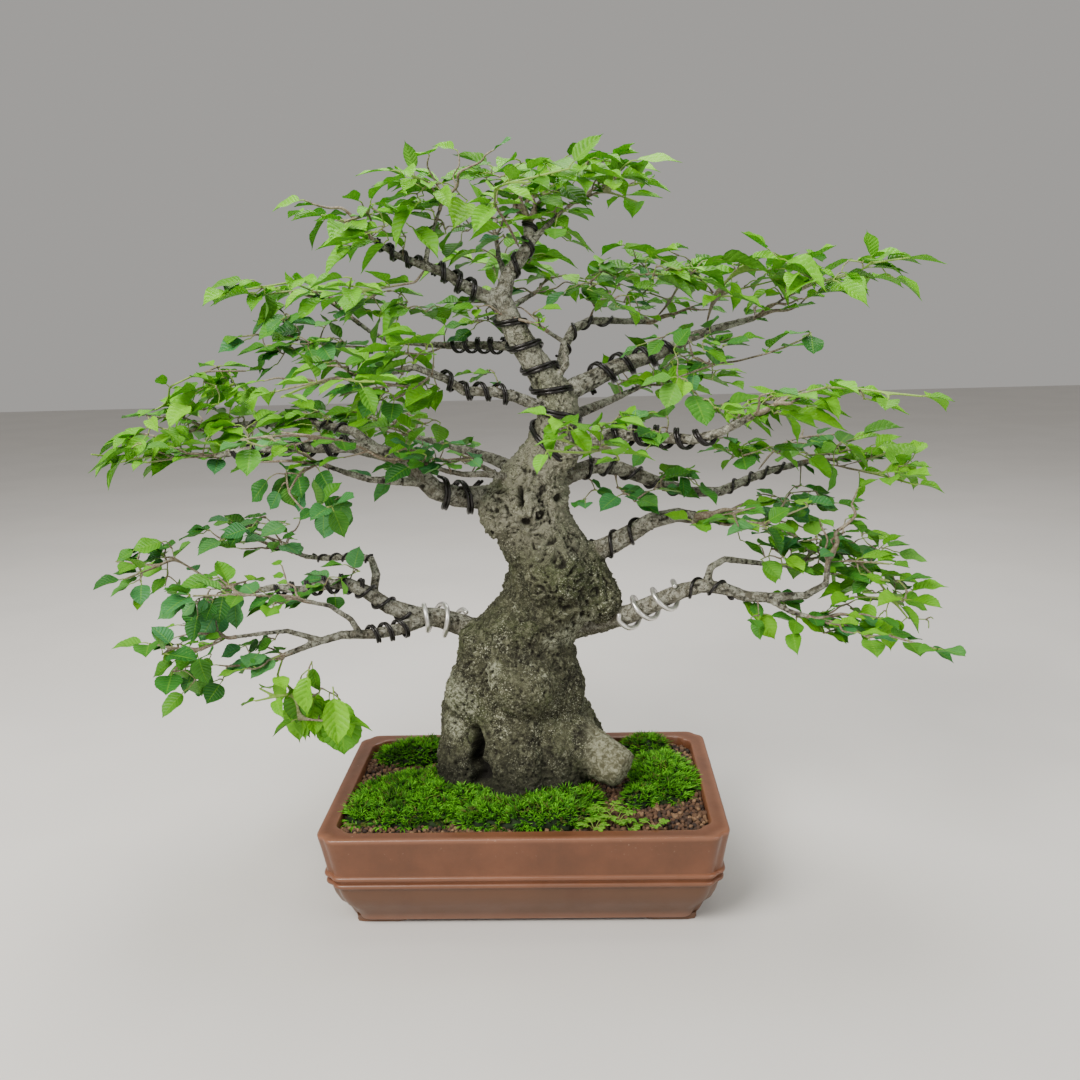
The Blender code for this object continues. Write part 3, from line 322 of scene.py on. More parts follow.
def clay_finish(colour):
    paint = Finish("unglazed_clay")
    low = paint.split(2)
    dark = tuple(c * 0.52 for c in colour)
    pale = tuple(min(1.0, c * 1.7 + 0.03) for c in colour)
    cloud = paint.noise(11.0, 7.0, 0.7)
    fired = tuple(c * k for c, k in zip(colour, (0.70, 0.72, 0.70)))
    tone = paint.mix(paint.range(cloud, 0.35, 0.7), colour, fired)
    # Darker below the corded band, towards the feet: painted reflection of the table on the lower body.
    base = paint.mix(paint.range(low, 0.058, 0.040, 0.0, 0.62), tone, (0.098, 0.050, 0.026))
    streak = paint.noise(22.0, 6.0, 0.7, at=paint.stretched((1.0, 1.0, 0.25)))
    base = paint.mix(paint.range(streak, 0.52, 0.72, 0.0, 0.35), base, dark)
    # Lighter on the rim and the cord bands: partly edge wear, partly a painted highlight.
    rub_and_highlight = paint.range(paint.mark("edge"), 0.25, 1.0, 0.0, 0.75)
    base = paint.mix(paint.math("MULTIPLY", rub_and_highlight, 0.7), base, pale)
    speck = paint.range(paint.cells(900.0), 0.16, 0.05)
    base = paint.mix(paint.math("MULTIPLY", speck, 0.35), base, (0.045, 0.022, 0.014))
    salt = paint.range(paint.noise(260.0, 3.0), 0.66, 0.74)
    salt = paint.math("MULTIPLY", salt, paint.range(low, 0.075, 0.1))
    base = paint.mix(paint.math("MULTIPLY", salt, 0.4), base, (0.42, 0.30, 0.22))
    rough = paint.range(paint.noise(34.0, 5.0), 0.3, 0.7, 0.30, 0.46)
    grain = paint.bump(paint.noise(520.0, 4.0, 0.7), 0.16, 0.0006)
    normal = paint.bump(paint.noise(26.0, 3.0), 0.12, 0.004, grain)
    return paint.done(base, rough, normal, specular_ior_level=0.5, coat_weight=0.06, coat_roughness=0.35)


def granule_finish():
    paint = Finish("fired_granules")
    tint = paint.mark("tint")
    # The darkest end gives some granules their own dark tone, and through the bed's low tint it is also
    # painted shade between the granules.
    base = paint.mix(paint.range(tint, 0.0, 0.5), (0.014, 0.007, 0.004), (0.092, 0.043, 0.019))
    base = paint.mix(paint.range(tint, 0.62, 0.95), base, (0.220, 0.125, 0.062))
    base = paint.mix(paint.range(paint.noise(700.0, 4.0), 0.4, 0.7, 0.0, 0.5), base, (0.060, 0.032, 0.022))
    normal = paint.bump(paint.noise(1100.0, 4.0, 0.7), 0.5, 0.0005)
    return paint.done(base, 0.82, normal)


def bark_finish():
    paint = Finish("lichened_bark")
    girth, relief, high = paint.mark("girth"), paint.mark("relief"), paint.split(2)
    patch = paint.noise(34.0, 6.0, 0.65, 0.4)
    fleck = paint.noise(170.0, 5.0, 0.7, 0.6)
    fine = paint.noise(560.0, 5.0, 0.75)
    old = paint.mix(paint.range(patch, 0.36, 0.62), (0.022, 0.022, 0.012), (0.080, 0.080, 0.045))
    old = paint.mix(paint.range(high, 0.335, 0.395, 0.0, 0.85), old, (0.285, 0.278, 0.205))
    green = paint.noise(17.0, 4.0, 0.6)
    old = paint.mix(paint.range(green, 0.48, 0.68, 0.0, 0.60), old, (0.060, 0.080, 0.026))
    old = paint.mix(paint.range(fleck, 0.46, 0.66, 0.0, 0.75), old, (0.190, 0.195, 0.120))
    crust = paint.range(paint.noise(52.0, 7.0, 0.75, 0.8), 0.575, 0.66)
    crust = paint.math("MAXIMUM", crust, paint.mark("lichen"))
    grainy = paint.range(paint.noise(240.0, 4.0, 0.7), 0.40, 0.56)
    old = paint.mix(paint.math("MULTIPLY", crust, grainy), old, (0.370, 0.385, 0.270))
    young = paint.mix(paint.range(fleck, 0.38, 0.60), (0.120, 0.110, 0.080), (0.360, 0.355, 0.290))
    young = paint.mix(paint.range(patch, 0.50, 0.66, 0.0, 0.65), young, (0.085, 0.072, 0.048))
    base = paint.mix(paint.range(girth, 0.018, 0.046), young, old)
    crease = paint.math("ABSOLUTE", paint.math("SUBTRACT", paint.noise(62.0, 6.0, 0.62, 1.6), 0.5))
    base = paint.mix(paint.range(crease, 0.026, 0.004, 0.0, 0.80), base, (0.016, 0.014, 0.008))
    crowd = paint.range(paint.noise(30.0, 4.0, 0.7), 0.42, 0.62, 0.15, 1.0)
    speck = paint.math("MULTIPLY", paint.range(paint.noise(620.0, 3.0, 0.6), 0.57, 0.64), crowd)
    speck = paint.math("MULTIPLY", speck, paint.range(girth, 0.012, 0.04, 0.3, 0.9))
    base = paint.mix(speck, base, (0.520, 0.525, 0.385))
    base = paint.mix(paint.range(fine, 0.46, 0.34, 0.0, 0.55), base, (0.020, 0.018, 0.010))
    # Darker where the bark's relief is low: painted shade in its pits, cracks and knot hollows.
    base = paint.mix(paint.range(relief, 0.50, 0.14, 0.0, 0.93), base, (0.012, 0.010, 0.006))
    # Darker near the soil at the trunk's foot: painted shadow under the trunk's overhang.
    base = paint.mix(paint.range(high, 0.170, 0.108, 0.0, 0.86), base, (0.014, 0.014, 0.008))
    pale = paint.mix(paint.range(fleck, 0.40, 0.62), (0.110, 0.104, 0.058), (0.350, 0.350, 0.240))
    base = paint.mix(paint.mark("stub"), base, pale)
    # Near-black inside the slits and hollows: painted shade in the carved cavities.
    base = paint.mix(paint.mark("hollow"), base, (0.004, 0.003, 0.002))
    coarse = paint.bump(fleck, 0.80, 0.0034)
    normal = paint.bump(fine, 0.70, 0.0016, coarse)
    return paint.done(base, paint.range(fleck, 0.3, 0.7, 0.78, 0.95), normal, specular_ior_level=0.25)


def twig_finish():
    """Fine wood that turns from brown-grey to the green of new growth."""
    paint = Finish("fine_twigs")
    fleck = paint.noise(420.0, 4.0, 0.7)
    wood = paint.mix(paint.range(fleck, 0.35, 0.65), (0.100, 0.062, 0.036), (0.260, 0.225, 0.160))
    fresh = paint.mix(paint.range(fleck, 0.4, 0.7), (0.160, 0.290, 0.030), (0.250, 0.390, 0.060))
    base = paint.mix(paint.range(paint.mark("youth"), 0.35, 0.85), wood, fresh)
    return paint.done(base, 0.62, paint.bump(fleck, 0.4, 0.0006))


def leaf_finish(name, young, old):
    """Veined leaf: the age mark runs from young to old, and the tint mark varies leaf by leaf."""
    paint = Finish(name)
    age, tint = paint.mark("age"), paint.mark("tint")
    along, across = paint.mark("along"), paint.mark("across")
    base = paint.mix(paint.range(age, 0.15, 0.85), young, old)
    bright = tuple(min(1.0, c * k) for c, k in zip(young, (1.55, 1.25, 1.4)))
    base = paint.mix(paint.range(tint, 0.70, 1.0, 0.0, 0.70), base, bright)
    base = paint.mix(paint.range(tint, 0.32, 0.0, 0.0, 0.60), base, tuple(c * 0.42 for c in old))
    blue = paint.math("MULTIPLY", paint.range(age, 0.5, 0.8), paint.range(tint, 0.45, 0.75))
    base = paint.mix(paint.math("MULTIPLY", blue, 0.75), base, (0.070, 0.290, 0.125))
    blotch = paint.noise(120.0, 3.0)
    base = paint.mix(paint.range(blotch, 0.4, 0.7, 0.0, 0.22), base, tuple(c * 0.6 for c in old))
    side = paint.math("ABSOLUTE", across)
    slant = paint.math("SUBTRACT", along, paint.math("MULTIPLY", side, 0.20))
    wave = paint.math("ABSOLUTE", paint.math("SINE", paint.math("MULTIPLY", slant, 8.0 * math.pi)))
    lateral = paint.range(wave, 0.20, 0.0)
    midrib = paint.range(side, 0.10, 0.0)
    vein = paint.math("MAXIMUM", lateral, midrib)
    pale = tuple(min(1.0, c * k + e) for c, k, e in zip(young, (1.4, 1.1, 1.3), (0.04, 0.04, 0.01)))
    base = paint.mix(paint.math("MULTIPLY", vein, 0.34), base, pale)
    below = tuple(c * 0.85 + 0.05 for c in young)
    base = paint.mix(paint.math("MULTIPLY", paint.mark("under"), 0.38), base, below)
    base = paint.mix(paint.math("MULTIPLY", paint.mark("stalk"), 0.8), base, (0.300, 0.420, 0.085))
    puff = paint.bump(wave, 0.55, 0.0009)
    net = paint.bump(paint.noise(900.0, 3.0), 0.20, 0.0004, puff)
    material = paint.done(base, 0.45, net, specular_ior_level=0.30)
    paint.glow_through(base, 0.32)
    return material


def moss_finish():
    paint = Finish("moss_blades")
    height = paint.mark("along")
    tint = paint.mark("tint")
    # Near-black at the blade's foot, green towards its tip: painted shade deep among the blades.
    base = paint.mix(paint.range(height, 0.15, 0.9), (0.006, 0.016, 0.002), (0.034, 0.165, 0.005))
    bright = paint.math("MULTIPLY", paint.range(tint, 0.25, 0.85), paint.range(height, 0.40, 1.0))
    base = paint.mix(bright, base, (0.170, 0.560, 0.012))
    base = paint.mix(paint.range(tint, 0.16, 0.0, 0.0, 0.7), base, (0.140, 0.110, 0.030))
    patch = paint.noise(38.0, 4.0)
    base = paint.mix(paint.range(patch, 0.50, 0.66, 0.0, 0.60), base, (0.016, 0.044, 0.004))
    return paint.done(base, 0.72, None, specular_ior_level=0.25)


def wire_finish(name, colour, metallic, roughness):
    paint = Finish(name)
    smear = paint.noise(180.0, 4.0, 0.6)
    rubbed = tuple(min(1.0, c * 1.6 + 0.012) for c in colour)
    base = paint.mix(paint.range(smear, 0.4, 0.75, 0.0, 0.5), colour, rubbed)
    rough = paint.range(smear, 0.3, 0.7, roughness - 0.06, roughness + 0.10)
    normal = paint.bump(paint.noise(90.0, 2.0), 0.15, 0.0006)
    return paint.done(base, rough, normal, metallic=metallic)


def screen_finish():
    paint = Finish("drain_mesh")
    weave = paint.cells(420.0)
    base = paint.mix(paint.range(weave, 0.2, 0.6), (0.012, 0.014, 0.012), (0.045, 0.050, 0.045))
    return paint.done(base, 0.6, paint.bump(weave, 0.6, 0.0008))


# ---------------------------------------------------------------------------
# Pot
# ---------------------------------------------------------------------------

CORNER_STEPS = 18
SIDE_STEPS = 14
FOOT_SIDES = 32


class PotSettings(bpy.types.PropertyGroup):
    length: bpy.props.FloatProperty(
        name="Length", description="Outer length of the rim",
        default=POT_BOX[1].x - POT_BOX[0].x, unit="LENGTH",
    )
    depth: bpy.props.FloatProperty(
        name="Depth", description="Outer depth of the rim", default=POT_BOX[1].y - POT_BOX[0].y, unit="LENGTH"
    )
    height: bpy.props.FloatProperty(
        name="Height", description="Height from the table to the rim", default=POT_BOX[1].z, unit="LENGTH"
    )
    corner: bpy.props.FloatProperty(
        name="Corner", description="Radius of the rounded corners", default=0.0215, unit="LENGTH"
    )
    dent: bpy.props.FloatProperty(
        name="Dent", description="Depth of the dent in the middle of each corner",
        default=0.0026, unit="LENGTH",
    )
    rim: bpy.props.FloatProperty(
        name="Rim", description="Width of the flat rim", default=0.0165, unit="LENGTH"
    )
    foot: bpy.props.FloatProperty(
        name="Feet", description="Height of the four feet", default=0.004, unit="LENGTH"
    )
    colour: bpy.props.FloatVectorProperty(
        name="Clay", description="Colour of the clay", default=(0.150, 0.054, 0.023), subtype="COLOR", size=3
    )


def pot_outline(pot, inset):
    """The pot's outline at an inset: straight sides, and round corners with a soft dent."""
    points = []
    for quarter in range(4):
        angle = quarter * math.pi / 2
        cos, sin = round(math.cos(angle)), round(math.sin(angle))
        along, across = (pot.length / 2 - inset, pot.depth / 2 - inset)
        if quarter % 2:
            along, across = across, along
        for step in range(1, SIDE_STEPS):
            share = step / SIDE_STEPS
            y = (share * 2 - 1) * (across - pot.corner)
            points.append((along * cos - y * sin, along * sin + y * cos))
        for step in range(CORNER_STEPS + 1):
            turn = math.pi / 2 * step / CORNER_STEPS
            dent = pot.dent * math.exp(-(((turn - math.pi / 4) / 0.26) ** 2))
            x = along - pot.corner + (pot.corner - dent) * math.cos(turn)
            y = across - pot.corner + (pot.corner - dent) * math.sin(turn)
            points.append((x * cos - y * sin, x * sin + y * cos))
    return points


def arc(inset, height, radius, first, last, steps):
    """(inset, height, edge) along a rounding, where a turn of 0 faces out and 90 up."""
    return [
        (inset - radius * math.cos(a), height + radius * math.sin(a), 1.0)
        for a in (math.radians(first + (last - first) * i / steps) for i in range(steps + 1))
    ]


def pot_profile(pot):
    """(inset, height, edge mark) from the edge of the base, up the outside and down the inside. The edge mark
    lightens the worn edges and also paints a highlight on them.
    """
    foot, top = pot.foot, pot.height
    rows = [(0.034, foot, 0.0)]
    rows += arc(0.0285, foot + 0.0030, 0.0030, -90, -20, 4)
    rows += [(0.0212, foot + 0.014, 0.0), (0.0151, foot + 0.022, 0.0), (0.0112, foot + 0.032, 0.0)]
    rows += [(0.0093, foot + 0.0400, 0.0), (0.0088, 0.0478, 0.1)]
    rows += [(i, h, 0.55) for i, h, _ in arc(0.0074, 0.0515, 0.0025, -78, 78, 7)]
    rows += [(i, h, 0.65) for i, h, _ in arc(0.0062, 0.0600, 0.0025, -78, 78, 7)]
    rows += [(0.0059, 0.0640, 0.1), (0.0045, 0.0740, 0.0), (0.0026, 0.0870, 0.0)]
    rows += [(0.0006, top - 0.0060, 0.15)]
    rows += [(i, h, 0.8) for i, h, _ in arc(0.0024, top - 0.0024, 0.0024, 5, 90, 6)]
    inner = pot.rim - 0.0016
    rows += [(pot.rim * 0.5, top - 0.0003, 0.25), (inner - 0.0010, top, 0.5)]
    rows += [(inner + 0.0018 * math.sin(a), top - 0.0018 * (1 - math.cos(a)), 0.6) for a in (0.4, 0.9, 1.4)]
    rows += [(pot.rim + 0.0015, top - 0.012, 0.0), (pot.rim + 0.004, top * 0.5, 0.0), (0.032, 0.026, 0.0)]
    rows += [(0.040, 0.0165, 0.0)]
    return rows


class BONSAI_OT_pot(bpy.types.Operator):
    """Throws the clay pot with its rounded rim, corded band, dented corners and feet."""

    bl_idname = "bonsai.pot"
    bl_label = "Clay Pot"

    def execute(self, context):
        pot = context.scene.bonsai_pot
        bundle = Bundle("edge")
        rows = pot_profile(pot)
        around = len(pot_outline(pot, 0.0))
        points, wear_and_highlight = [], []
        for inset, height, edge in rows:
            for x, y in pot_outline(pot, inset):
                sag = 0.0005 * noise.noise(Vector((x * 9, y * 9, height * 12)))
                points.append((x * (1 + sag), y * (1 + sag), height))
                wear_and_highlight.append(edge)
        bundle.add(points, band_faces(len(rows), around), edge=wear_and_highlight)
        clay = clay_finish(tuple(pot.colour))
        piece = add_piece("clay_pot", bundle.mesh("clay_pot"), [clay], ["pot"])
        for side in (-1, 1):
            cutter = self.helper(f"drain_{side}", self.drain(side * 0.090))
            self.join(piece, cutter, "DIFFERENCE")
            for face in (-1, 1):
                foot = self.foot(pot, side, face)
                self.join(piece, self.helper(f"foot_{side}_{face}", foot), "UNION")
        apply_modifiers(piece)
        for helper in [o for o in bpy.data.objects if o.get("bonsai_helper")]:
            bpy.data.objects.remove(helper, do_unlink=True)
        piece.data.set_sharp_from_angle(angle=math.radians(50))
        return {"FINISHED"}

    def helper(self, name, shape):
        points, faces = shape
        # The cutters carry a little of the edge mark, so the feet and drain holes get a touch of the worn
        # edge colour with its painted highlight.
        obj = bpy.data.objects.new(name, mesh_of(name, points, faces, {"edge": [0.3] * len(points)}))
        bpy.context.scene.collection.objects.link(obj)
        obj.hide_render = True
        obj["bonsai_helper"] = True
        return obj

    def join(self, piece, other, operation):
        modifier = piece.modifiers.new(other.name, "BOOLEAN")
        modifier.operation = operation
        modifier.solver = "MANIFOLD"
        modifier.object = other

    def drain(self, x):
        return tube_shape([(x, 0, -0.01), (x, 0, 0.008), (x, 0, 0.03)], 0.011, 40)

    def foot(self, pot, side, face):
        """A low block with rounded corners that swells a little towards the table."""
        x, y = side * (pot.length / 2 - 0.056), face * (pot.depth / 2 - 0.048)
        rings = ((0.0, -0.0006), (0.0006, 0.0), (pot.foot * 0.6, -0.0004), (pot.foot + 0.003, 0.0004))
        points = []
        for height, grow in rings:
            for i in range(FOOT_SIDES):
                a = 2 * math.pi * i / FOOT_SIDES
                cos, sin = math.cos(a), math.sin(a)
                reach = (abs(cos) ** 7 + abs(sin) ** 7) ** (-1 / 7)
                points.append((x + (0.026 + grow) * cos * reach, y + (0.018 + grow) * sin * reach, height))
        return points, band_faces(len(rings), FOOT_SIDES)


def apply_modifiers(piece):
    """Writes the evaluated mesh back into the piece."""
    bpy.context.view_layer.update()
    graph = bpy.context.evaluated_depsgraph_get()
    mesh = bpy.data.meshes.new_from_object(piece.evaluated_get(graph))
    piece.modifiers.clear()
    piece.data = mesh


# ---------------------------------------------------------------------------
# Wood
# ---------------------------------------------------------------------------

# Marks on the trunk's front. Slits and hollows are (x, z, half width, half height, depth), and
# knots, swirls and lichens are (x, z, radius).
SLITS = ((0.003, 0.412, 0.0028, 0.0105, 0.016),)
HOLLOWS = ((-0.050, 0.150, 0.0060, 0.022, 0.022), (-0.046, 0.124, 0.0085, 0.012, 0.018))
KNOTS = ((0.007, 0.388, 0.010), (0.040, 0.408, 0.009), (-0.021, 0.399, 0.006), (-0.027, 0.375, 0.006))
SWIRLS = ((0.041, 0.350, 0.017), (0.044, 0.305, 0.020), (0.066, 0.288, 0.014), (0.018, 0.362, 0.011))
SWIRLS += ((0.076, 0.312, 0.013), (0.060, 0.332, 0.012), (0.020, 0.322, 0.013), (0.022, 0.392, 0.010))
LICHENS = ((0.051, 0.267, 0.017), (0.066, 0.286, 0.012), (-0.069, 0.204, 0.019), (-0.058, 0.196, 0.012))
LICHENS += ((-0.033, 0.418, 0.014), (-0.074, 0.170, 0.013), (0.030, 0.262, 0.010), (-0.030, 0.236, 0.010))
ROOT_STUB = ((0.056, 0.160), (0.094, 0.186))

# How far apart the three patterns lie that push the bark's pattern about in X, Y and Z.
DRIFT_SHIFTS = ((9.321, -1.531, -7.951), (0.0, 0.0, 0.0), (6.327, 0.1671, -2.672))


class WoodSettings(bpy.types.PropertyGroup):
    grain: bpy.props.FloatProperty(
        name="Grain", description="Size of the mesh's faces on the wood",
        default=0.00150, unit="LENGTH", precision=5,
    )
    relief: bpy.props.FloatProperty(
        name="Relief", description="How far the old bark stands out",
        default=0.0035, unit="LENGTH", precision=4,
    )
    softening: bpy.props.IntProperty(
        name="Softening", description="Rounds of smoothing where burls and roots meet", default=26, min=0
    )


def girth_of(tree, points, normals):
    """How thick the wood is behind each point."""
    girth = np.empty(len(points))
    for i, (point, normal) in enumerate(zip(points, normals)):
        start = Vector(point) - Vector(normal) * 0.0004
        hit = tree.ray_cast(start, -Vector(normal), 0.2)
        girth[i] = hit[3] if hit[0] is not None else 0.2
    return girth


def smoothstep(low, high, value):
    t = np.clip((value - low) / (high - low), 0, 1)
    return t * t * (3 - 2 * t)


class Surface:
    """A mesh's points and edges as arrays, for smoothing and carving."""

    def __init__(self, mesh):
        self.mesh = mesh
        self.points = np.empty(len(mesh.vertices) * 3)
        mesh.vertices.foreach_get("co", self.points)
        self.points = self.points.reshape(-1, 3)
        edges = np.empty(len(mesh.edges) * 2, np.int64)
        mesh.edges.foreach_get("vertices", edges)
        self.a, self.b = edges.reshape(-1, 2).T
        self.degree = np.bincount(np.concatenate([self.a, self.b]), minlength=len(self.points))

    def mean(self, values):
        """Each point's neighbours' mean."""
        out = np.empty_like(values)
        for k in range(values.shape[1]):
            both = np.bincount(self.a, values[self.b, k], len(values)) + np.bincount(
                self.b, values[self.a, k], len(values)
            )
            out[:, k] = both / self.degree
        return out

    def smooth(self, rounds, weight):
        for _ in range(rounds):
            self.points += weight[:, None] * (self.mean(self.points) - self.points)

    def store(self):
        self.mesh.vertices.foreach_set("co", self.points.astype(np.float32).ravel())
        self.mesh.update()

    def normals(self):
        self.store()
        out = np.empty(len(self.points) * 3)
        self.mesh.vertex_normals.foreach_get("vector", out)
        return out.reshape(-1, 3)


def drift(point):
    """A soft push whose direction wanders from place to place."""
    return Vector([noise.noise(point + Vector(shift)) for shift in DRIFT_SHIFTS])


def bark_relief(points):
    """Height of the bark at each point, from -1 to about 1: lumps, plates, ridges, pits and grit."""
    height = np.empty(len(points))
    for i, point in enumerate(points):
        p = Vector(point)
        q = p + drift(p * 40) * 0.010
        lump = noise.fractal(q * 28, 1.0, 2.0, 3)
        cracks = noise.voronoi(q * 95)[0]
        plate = min(1.0, (cracks[1] - cracks[0]) * 2.4) - 0.5
        ridge = 1 - 2.2 * abs(noise.noise(q * 150))
        pit = max(0.0, 0.34 - noise.voronoi(p * 190)[0][0]) * 2.4
        fine = noise.fractal(p * 330, 0.8, 2.0, 3)
        height[i] = 0.36 * lump + 0.42 * plate + 0.30 * ridge + 0.42 * fine - pit - 0.10
    return height


class BONSAI_OT_wood(bpy.types.Operator):
    """Carves the trunk, its roots and branches: softened burls, pitted bark, knots and hollows."""

    bl_idname = "bonsai.wood"
    bl_label = "Trunk and Branches"

    def execute(self, context):
        settings = context.scene.bonsai_wood
        bm = welded("trunk_and_branches")
        mesh = bpy.data.meshes.new("wood")
        bm.to_mesh(mesh)
        bm.free()
        piece = add_piece("trunk_wood", mesh, [bark_finish()], ["trunk_and_branches"])
        remesh = piece.modifiers.new("voxels", "REMESH")
        remesh.mode = "VOXEL"
        remesh.voxel_size = settings.grain * 1
        apply_modifiers(piece)
        piece.data.materials.clear()
        piece.data.materials.append(bpy.data.materials["lichened_bark"])
        surface = Surface(piece.data)
        tree = BVHTree.FromObject(piece, context.evaluated_depsgraph_get())
        normals = surface.normals()
        girth = girth_of(tree, surface.points, normals)
        thick = smoothstep(0.018, 0.055, girth)
        surface.smooth(3, np.full(len(girth), 0.30))
        surface.smooth(settings.softening, thick * 0.55)
        x, y, z = surface.points.T
        (x0, x1), (z0, z1) = ROOT_STUB
        stub = smoothstep(x0, x0 + 0.022, x) * smoothstep(z1, z1 - 0.020, z) * (y < 0.030) * (girth > 0.012)
        surface.smooth(4 * settings.softening, stub * 0.5)
        normals = surface.normals()
        relief = bark_relief(surface.points)
        rise = relief * settings.relief * (0.16 + 0.84 * thick) * (1 - 0.55 * stub)
        front = normals[:, 1] < 0.35
        hollow = np.zeros(len(girth))
        lichen = np.zeros(len(girth))
        x, z = surface.points[:, 0].copy(), surface.points[:, 2].copy()
        bend = 0.25 * np.sin(x * 310 + 2 * np.sin(z * 170)) + 0.25 * np.sin(z * 270 + 2 * np.sin(x * 210))
        # Knots and swirls also move the relief mark, so their low rings come out darker: painted shade.
        for cx, cz, radius in KNOTS:
            away = np.hypot(x - cx, (z - cz) * 0.9) / radius * (1 + 0.35 * bend)
            ring = np.where(front, np.exp(-((away - 0.85) ** 2) * 12) - 1.1 * np.exp(-(away**2) * 8), 0)
            rise += ring * 0.0036 * min(1.3, radius / 0.009)
            relief = relief * (1 - 0.8 * np.exp(-(away**2) * 1.5)) + np.minimum(0, ring) * 1.3
        for cx, cz, radius in SWIRLS:
            away = np.hypot(x - cx, z - cz) / radius * (1 + 0.5 * bend)
            swirl = np.cos(away * 8.5 + 0.8) * np.exp(-(away**2) * 0.8) * front
            rise += swirl * 0.0026
            relief = relief + swirl * 0.60
        # Slits and hollows are carved in, and their hollow mark paints them near-black as shade.
        for cx, cz, half_x, half_z, depth in SLITS:
            inside = np.exp(-(((x - cx) / half_x) ** 4) - ((z - cz) / half_z) ** 4) * front
            rise -= inside * depth
            rise += 0.0028 * np.exp(-((np.hypot((x - cx) / 2.2, z - cz) - half_x) / 0.004) ** 2) * front
            hollow = np.maximum(hollow, smoothstep(0.25, 0.7, inside))
        for cx, cz, half_x, half_z, depth in HOLLOWS:
            wobble = 0.3 * np.sin(z * 190) * half_x
            inside = np.exp(-(((x - cx + wobble) / half_x) ** 4) - ((z - cz) / half_z) ** 4) * front
            rise -= inside * depth
            hollow = np.maximum(hollow, smoothstep(0.35, 0.85, inside) * 0.9)
        for cx, cz, radius in LICHENS:
            away = np.hypot(x - cx, z - cz) / radius
            blot = np.clip(1.35 - away, 0, 1) * front
            lichen = np.maximum(lichen, smoothstep(0.25, 0.75, blot) * 0.75)
        surface.points += normals * rise[:, None]
        surface.points[:, 2] = np.maximum(surface.points[:, 2], SOIL_BOX[1].z - 0.010)
        surface.store()
        stub = stub * smoothstep(0.100, 0.132, z) * 0.85
        # The relief and hollow marks carry painted shade: darker low bark and near-black hollows.
        marks = {"girth": girth, "relief": 0.5 + relief * 0.55, "hollow": hollow}
        marks |= {"lichen": lichen, "stub": stub}
        for name, values in marks.items():
            layer = piece.data.attributes.new(name, "FLOAT", "POINT")
            layer.data.foreach_set("value", np.clip(values, 0, 1).astype(np.float32))
        piece.data.shade_smooth()
        return {"FINISHED"}


def wood_tree():
    """A search tree of the finished wood."""
    bpy.context.view_layer.update()
    return BVHTree.FromObject(bpy.data.objects["trunk_wood"], bpy.context.evaluated_depsgraph_get())


def in_wood(tree, point):
    """Whether the first wood above the point is seen from its inside."""
    hit = tree.ray_cast(point, UP, 0.3)
    return hit[0] is not None and hit[1].z > 0


# ---------------------------------------------------------------------------
# Training wires
# ---------------------------------------------------------------------------

# Windings on the upper trunk and forks: name, route, turns, wire radius, start angle in turns, strands.
EXTRA_WIRES = (
    (
        "crown_trunk",
        ((0.040, 0.030, 0.500), (0.028, 0.030, 0.532), (0.008, 0.030, 0.562), (-0.008, 0.030, 0.595)),
        4.2,
        0.0023,
        0.1,
        2,
    ),
    (
        "neck",
        ((0.026, 0.030, 0.452), (0.040, 0.030, 0.480), (0.042, 0.030, 0.502)),
        1.6,
        0.0024,
        0.55,
        2,
    ),
    (
        "crown",
        ((-0.004, 0.030, 0.629), (0.010, 0.030, 0.646), (0.018, 0.034, 0.662), (0.017, 0.040, 0.676)),
        2.6,
        0.0019,
        0.3,
        2,
    ),
    (
        "mid_right",
        ((0.060, 0.042, 0.429), (0.090, 0.052, 0.433), (0.128, 0.057, 0.419), (0.165, 0.061, 0.404)),
        4.5,
        0.0018,
        0.2,
        1,
    ),
    ("stub", ((0.078, 0.030, 0.346), (0.105, 0.028, 0.360), (0.130, 0.020, 0.377)), 2.4, 0.0019, 0.1, 1),
    (
        "low_right",
        ((0.168, -0.014, 0.315), (0.190, -0.022, 0.320), (0.214, -0.028, 0.314)),
        2.2,
        0.0016,
        0.5,
        1,
    ),
    (
        "mid_left_up",
        ((-0.170, 0.005, 0.482), (-0.200, 0.014, 0.487), (-0.235, 0.025, 0.489), (-0.275, 0.035, 0.486)),
        5.5,
        0.0014,
        0.2,
        1,
    ),
    (
        "low_left_up",
        ((-0.160, 0.042, 0.339), (-0.195, 0.061, 0.338), (-0.232, 0.076, 0.335)),
        5.0,
        0.0013,
        0.4,
        1,
    ),
    (
        "low_left",
        ((-0.120, 0.018, 0.286), (-0.150, 0.012, 0.303), (-0.172, 0.010, 0.317)),
        2.6,
        0.0019,
        0.65,
        1,
    ),
    (
        "upper_right_back",
        ((0.048, 0.056, 0.545), (0.054, 0.067, 0.565), (0.072, 0.083, 0.579), (0.100, 0.101, 0.580)),
        4.0,
        0.0015,
        0.0,
        1,
    ),
    (
        "mid_right_far",
        ((0.215, 0.067, 0.402), (0.250, 0.072, 0.416), (0.285, 0.077, 0.424)),
        4.0,
        0.0014,
        0.3,
        1,
    ),
    (
        "back_low",
        ((0.018, 0.100, 0.394), (-0.006, 0.134, 0.401), (-0.040, 0.166, 0.411)),
        4.0,
        0.0018,
        0.3,
        1,
    ),
)


class WireSettings(bpy.types.PropertyGroup):
    strand_gap: bpy.props.FloatProperty(
        name="Strand Gap", description="Room between two strands that run side by side, in wire widths",
        default=1.02,
    )
    dark: bpy.props.FloatVectorProperty(
        name="Dark Wire", description="Colour of the anodised wire",
        default=(0.012, 0.010, 0.009), subtype="COLOR", size=3,
    )
    bare: bpy.props.FloatVectorProperty(
        name="Bare Wire", description="Colour of the bare aluminium wire",
        default=(0.66, 0.64, 0.60), subtype="COLOR", size=3,
    )


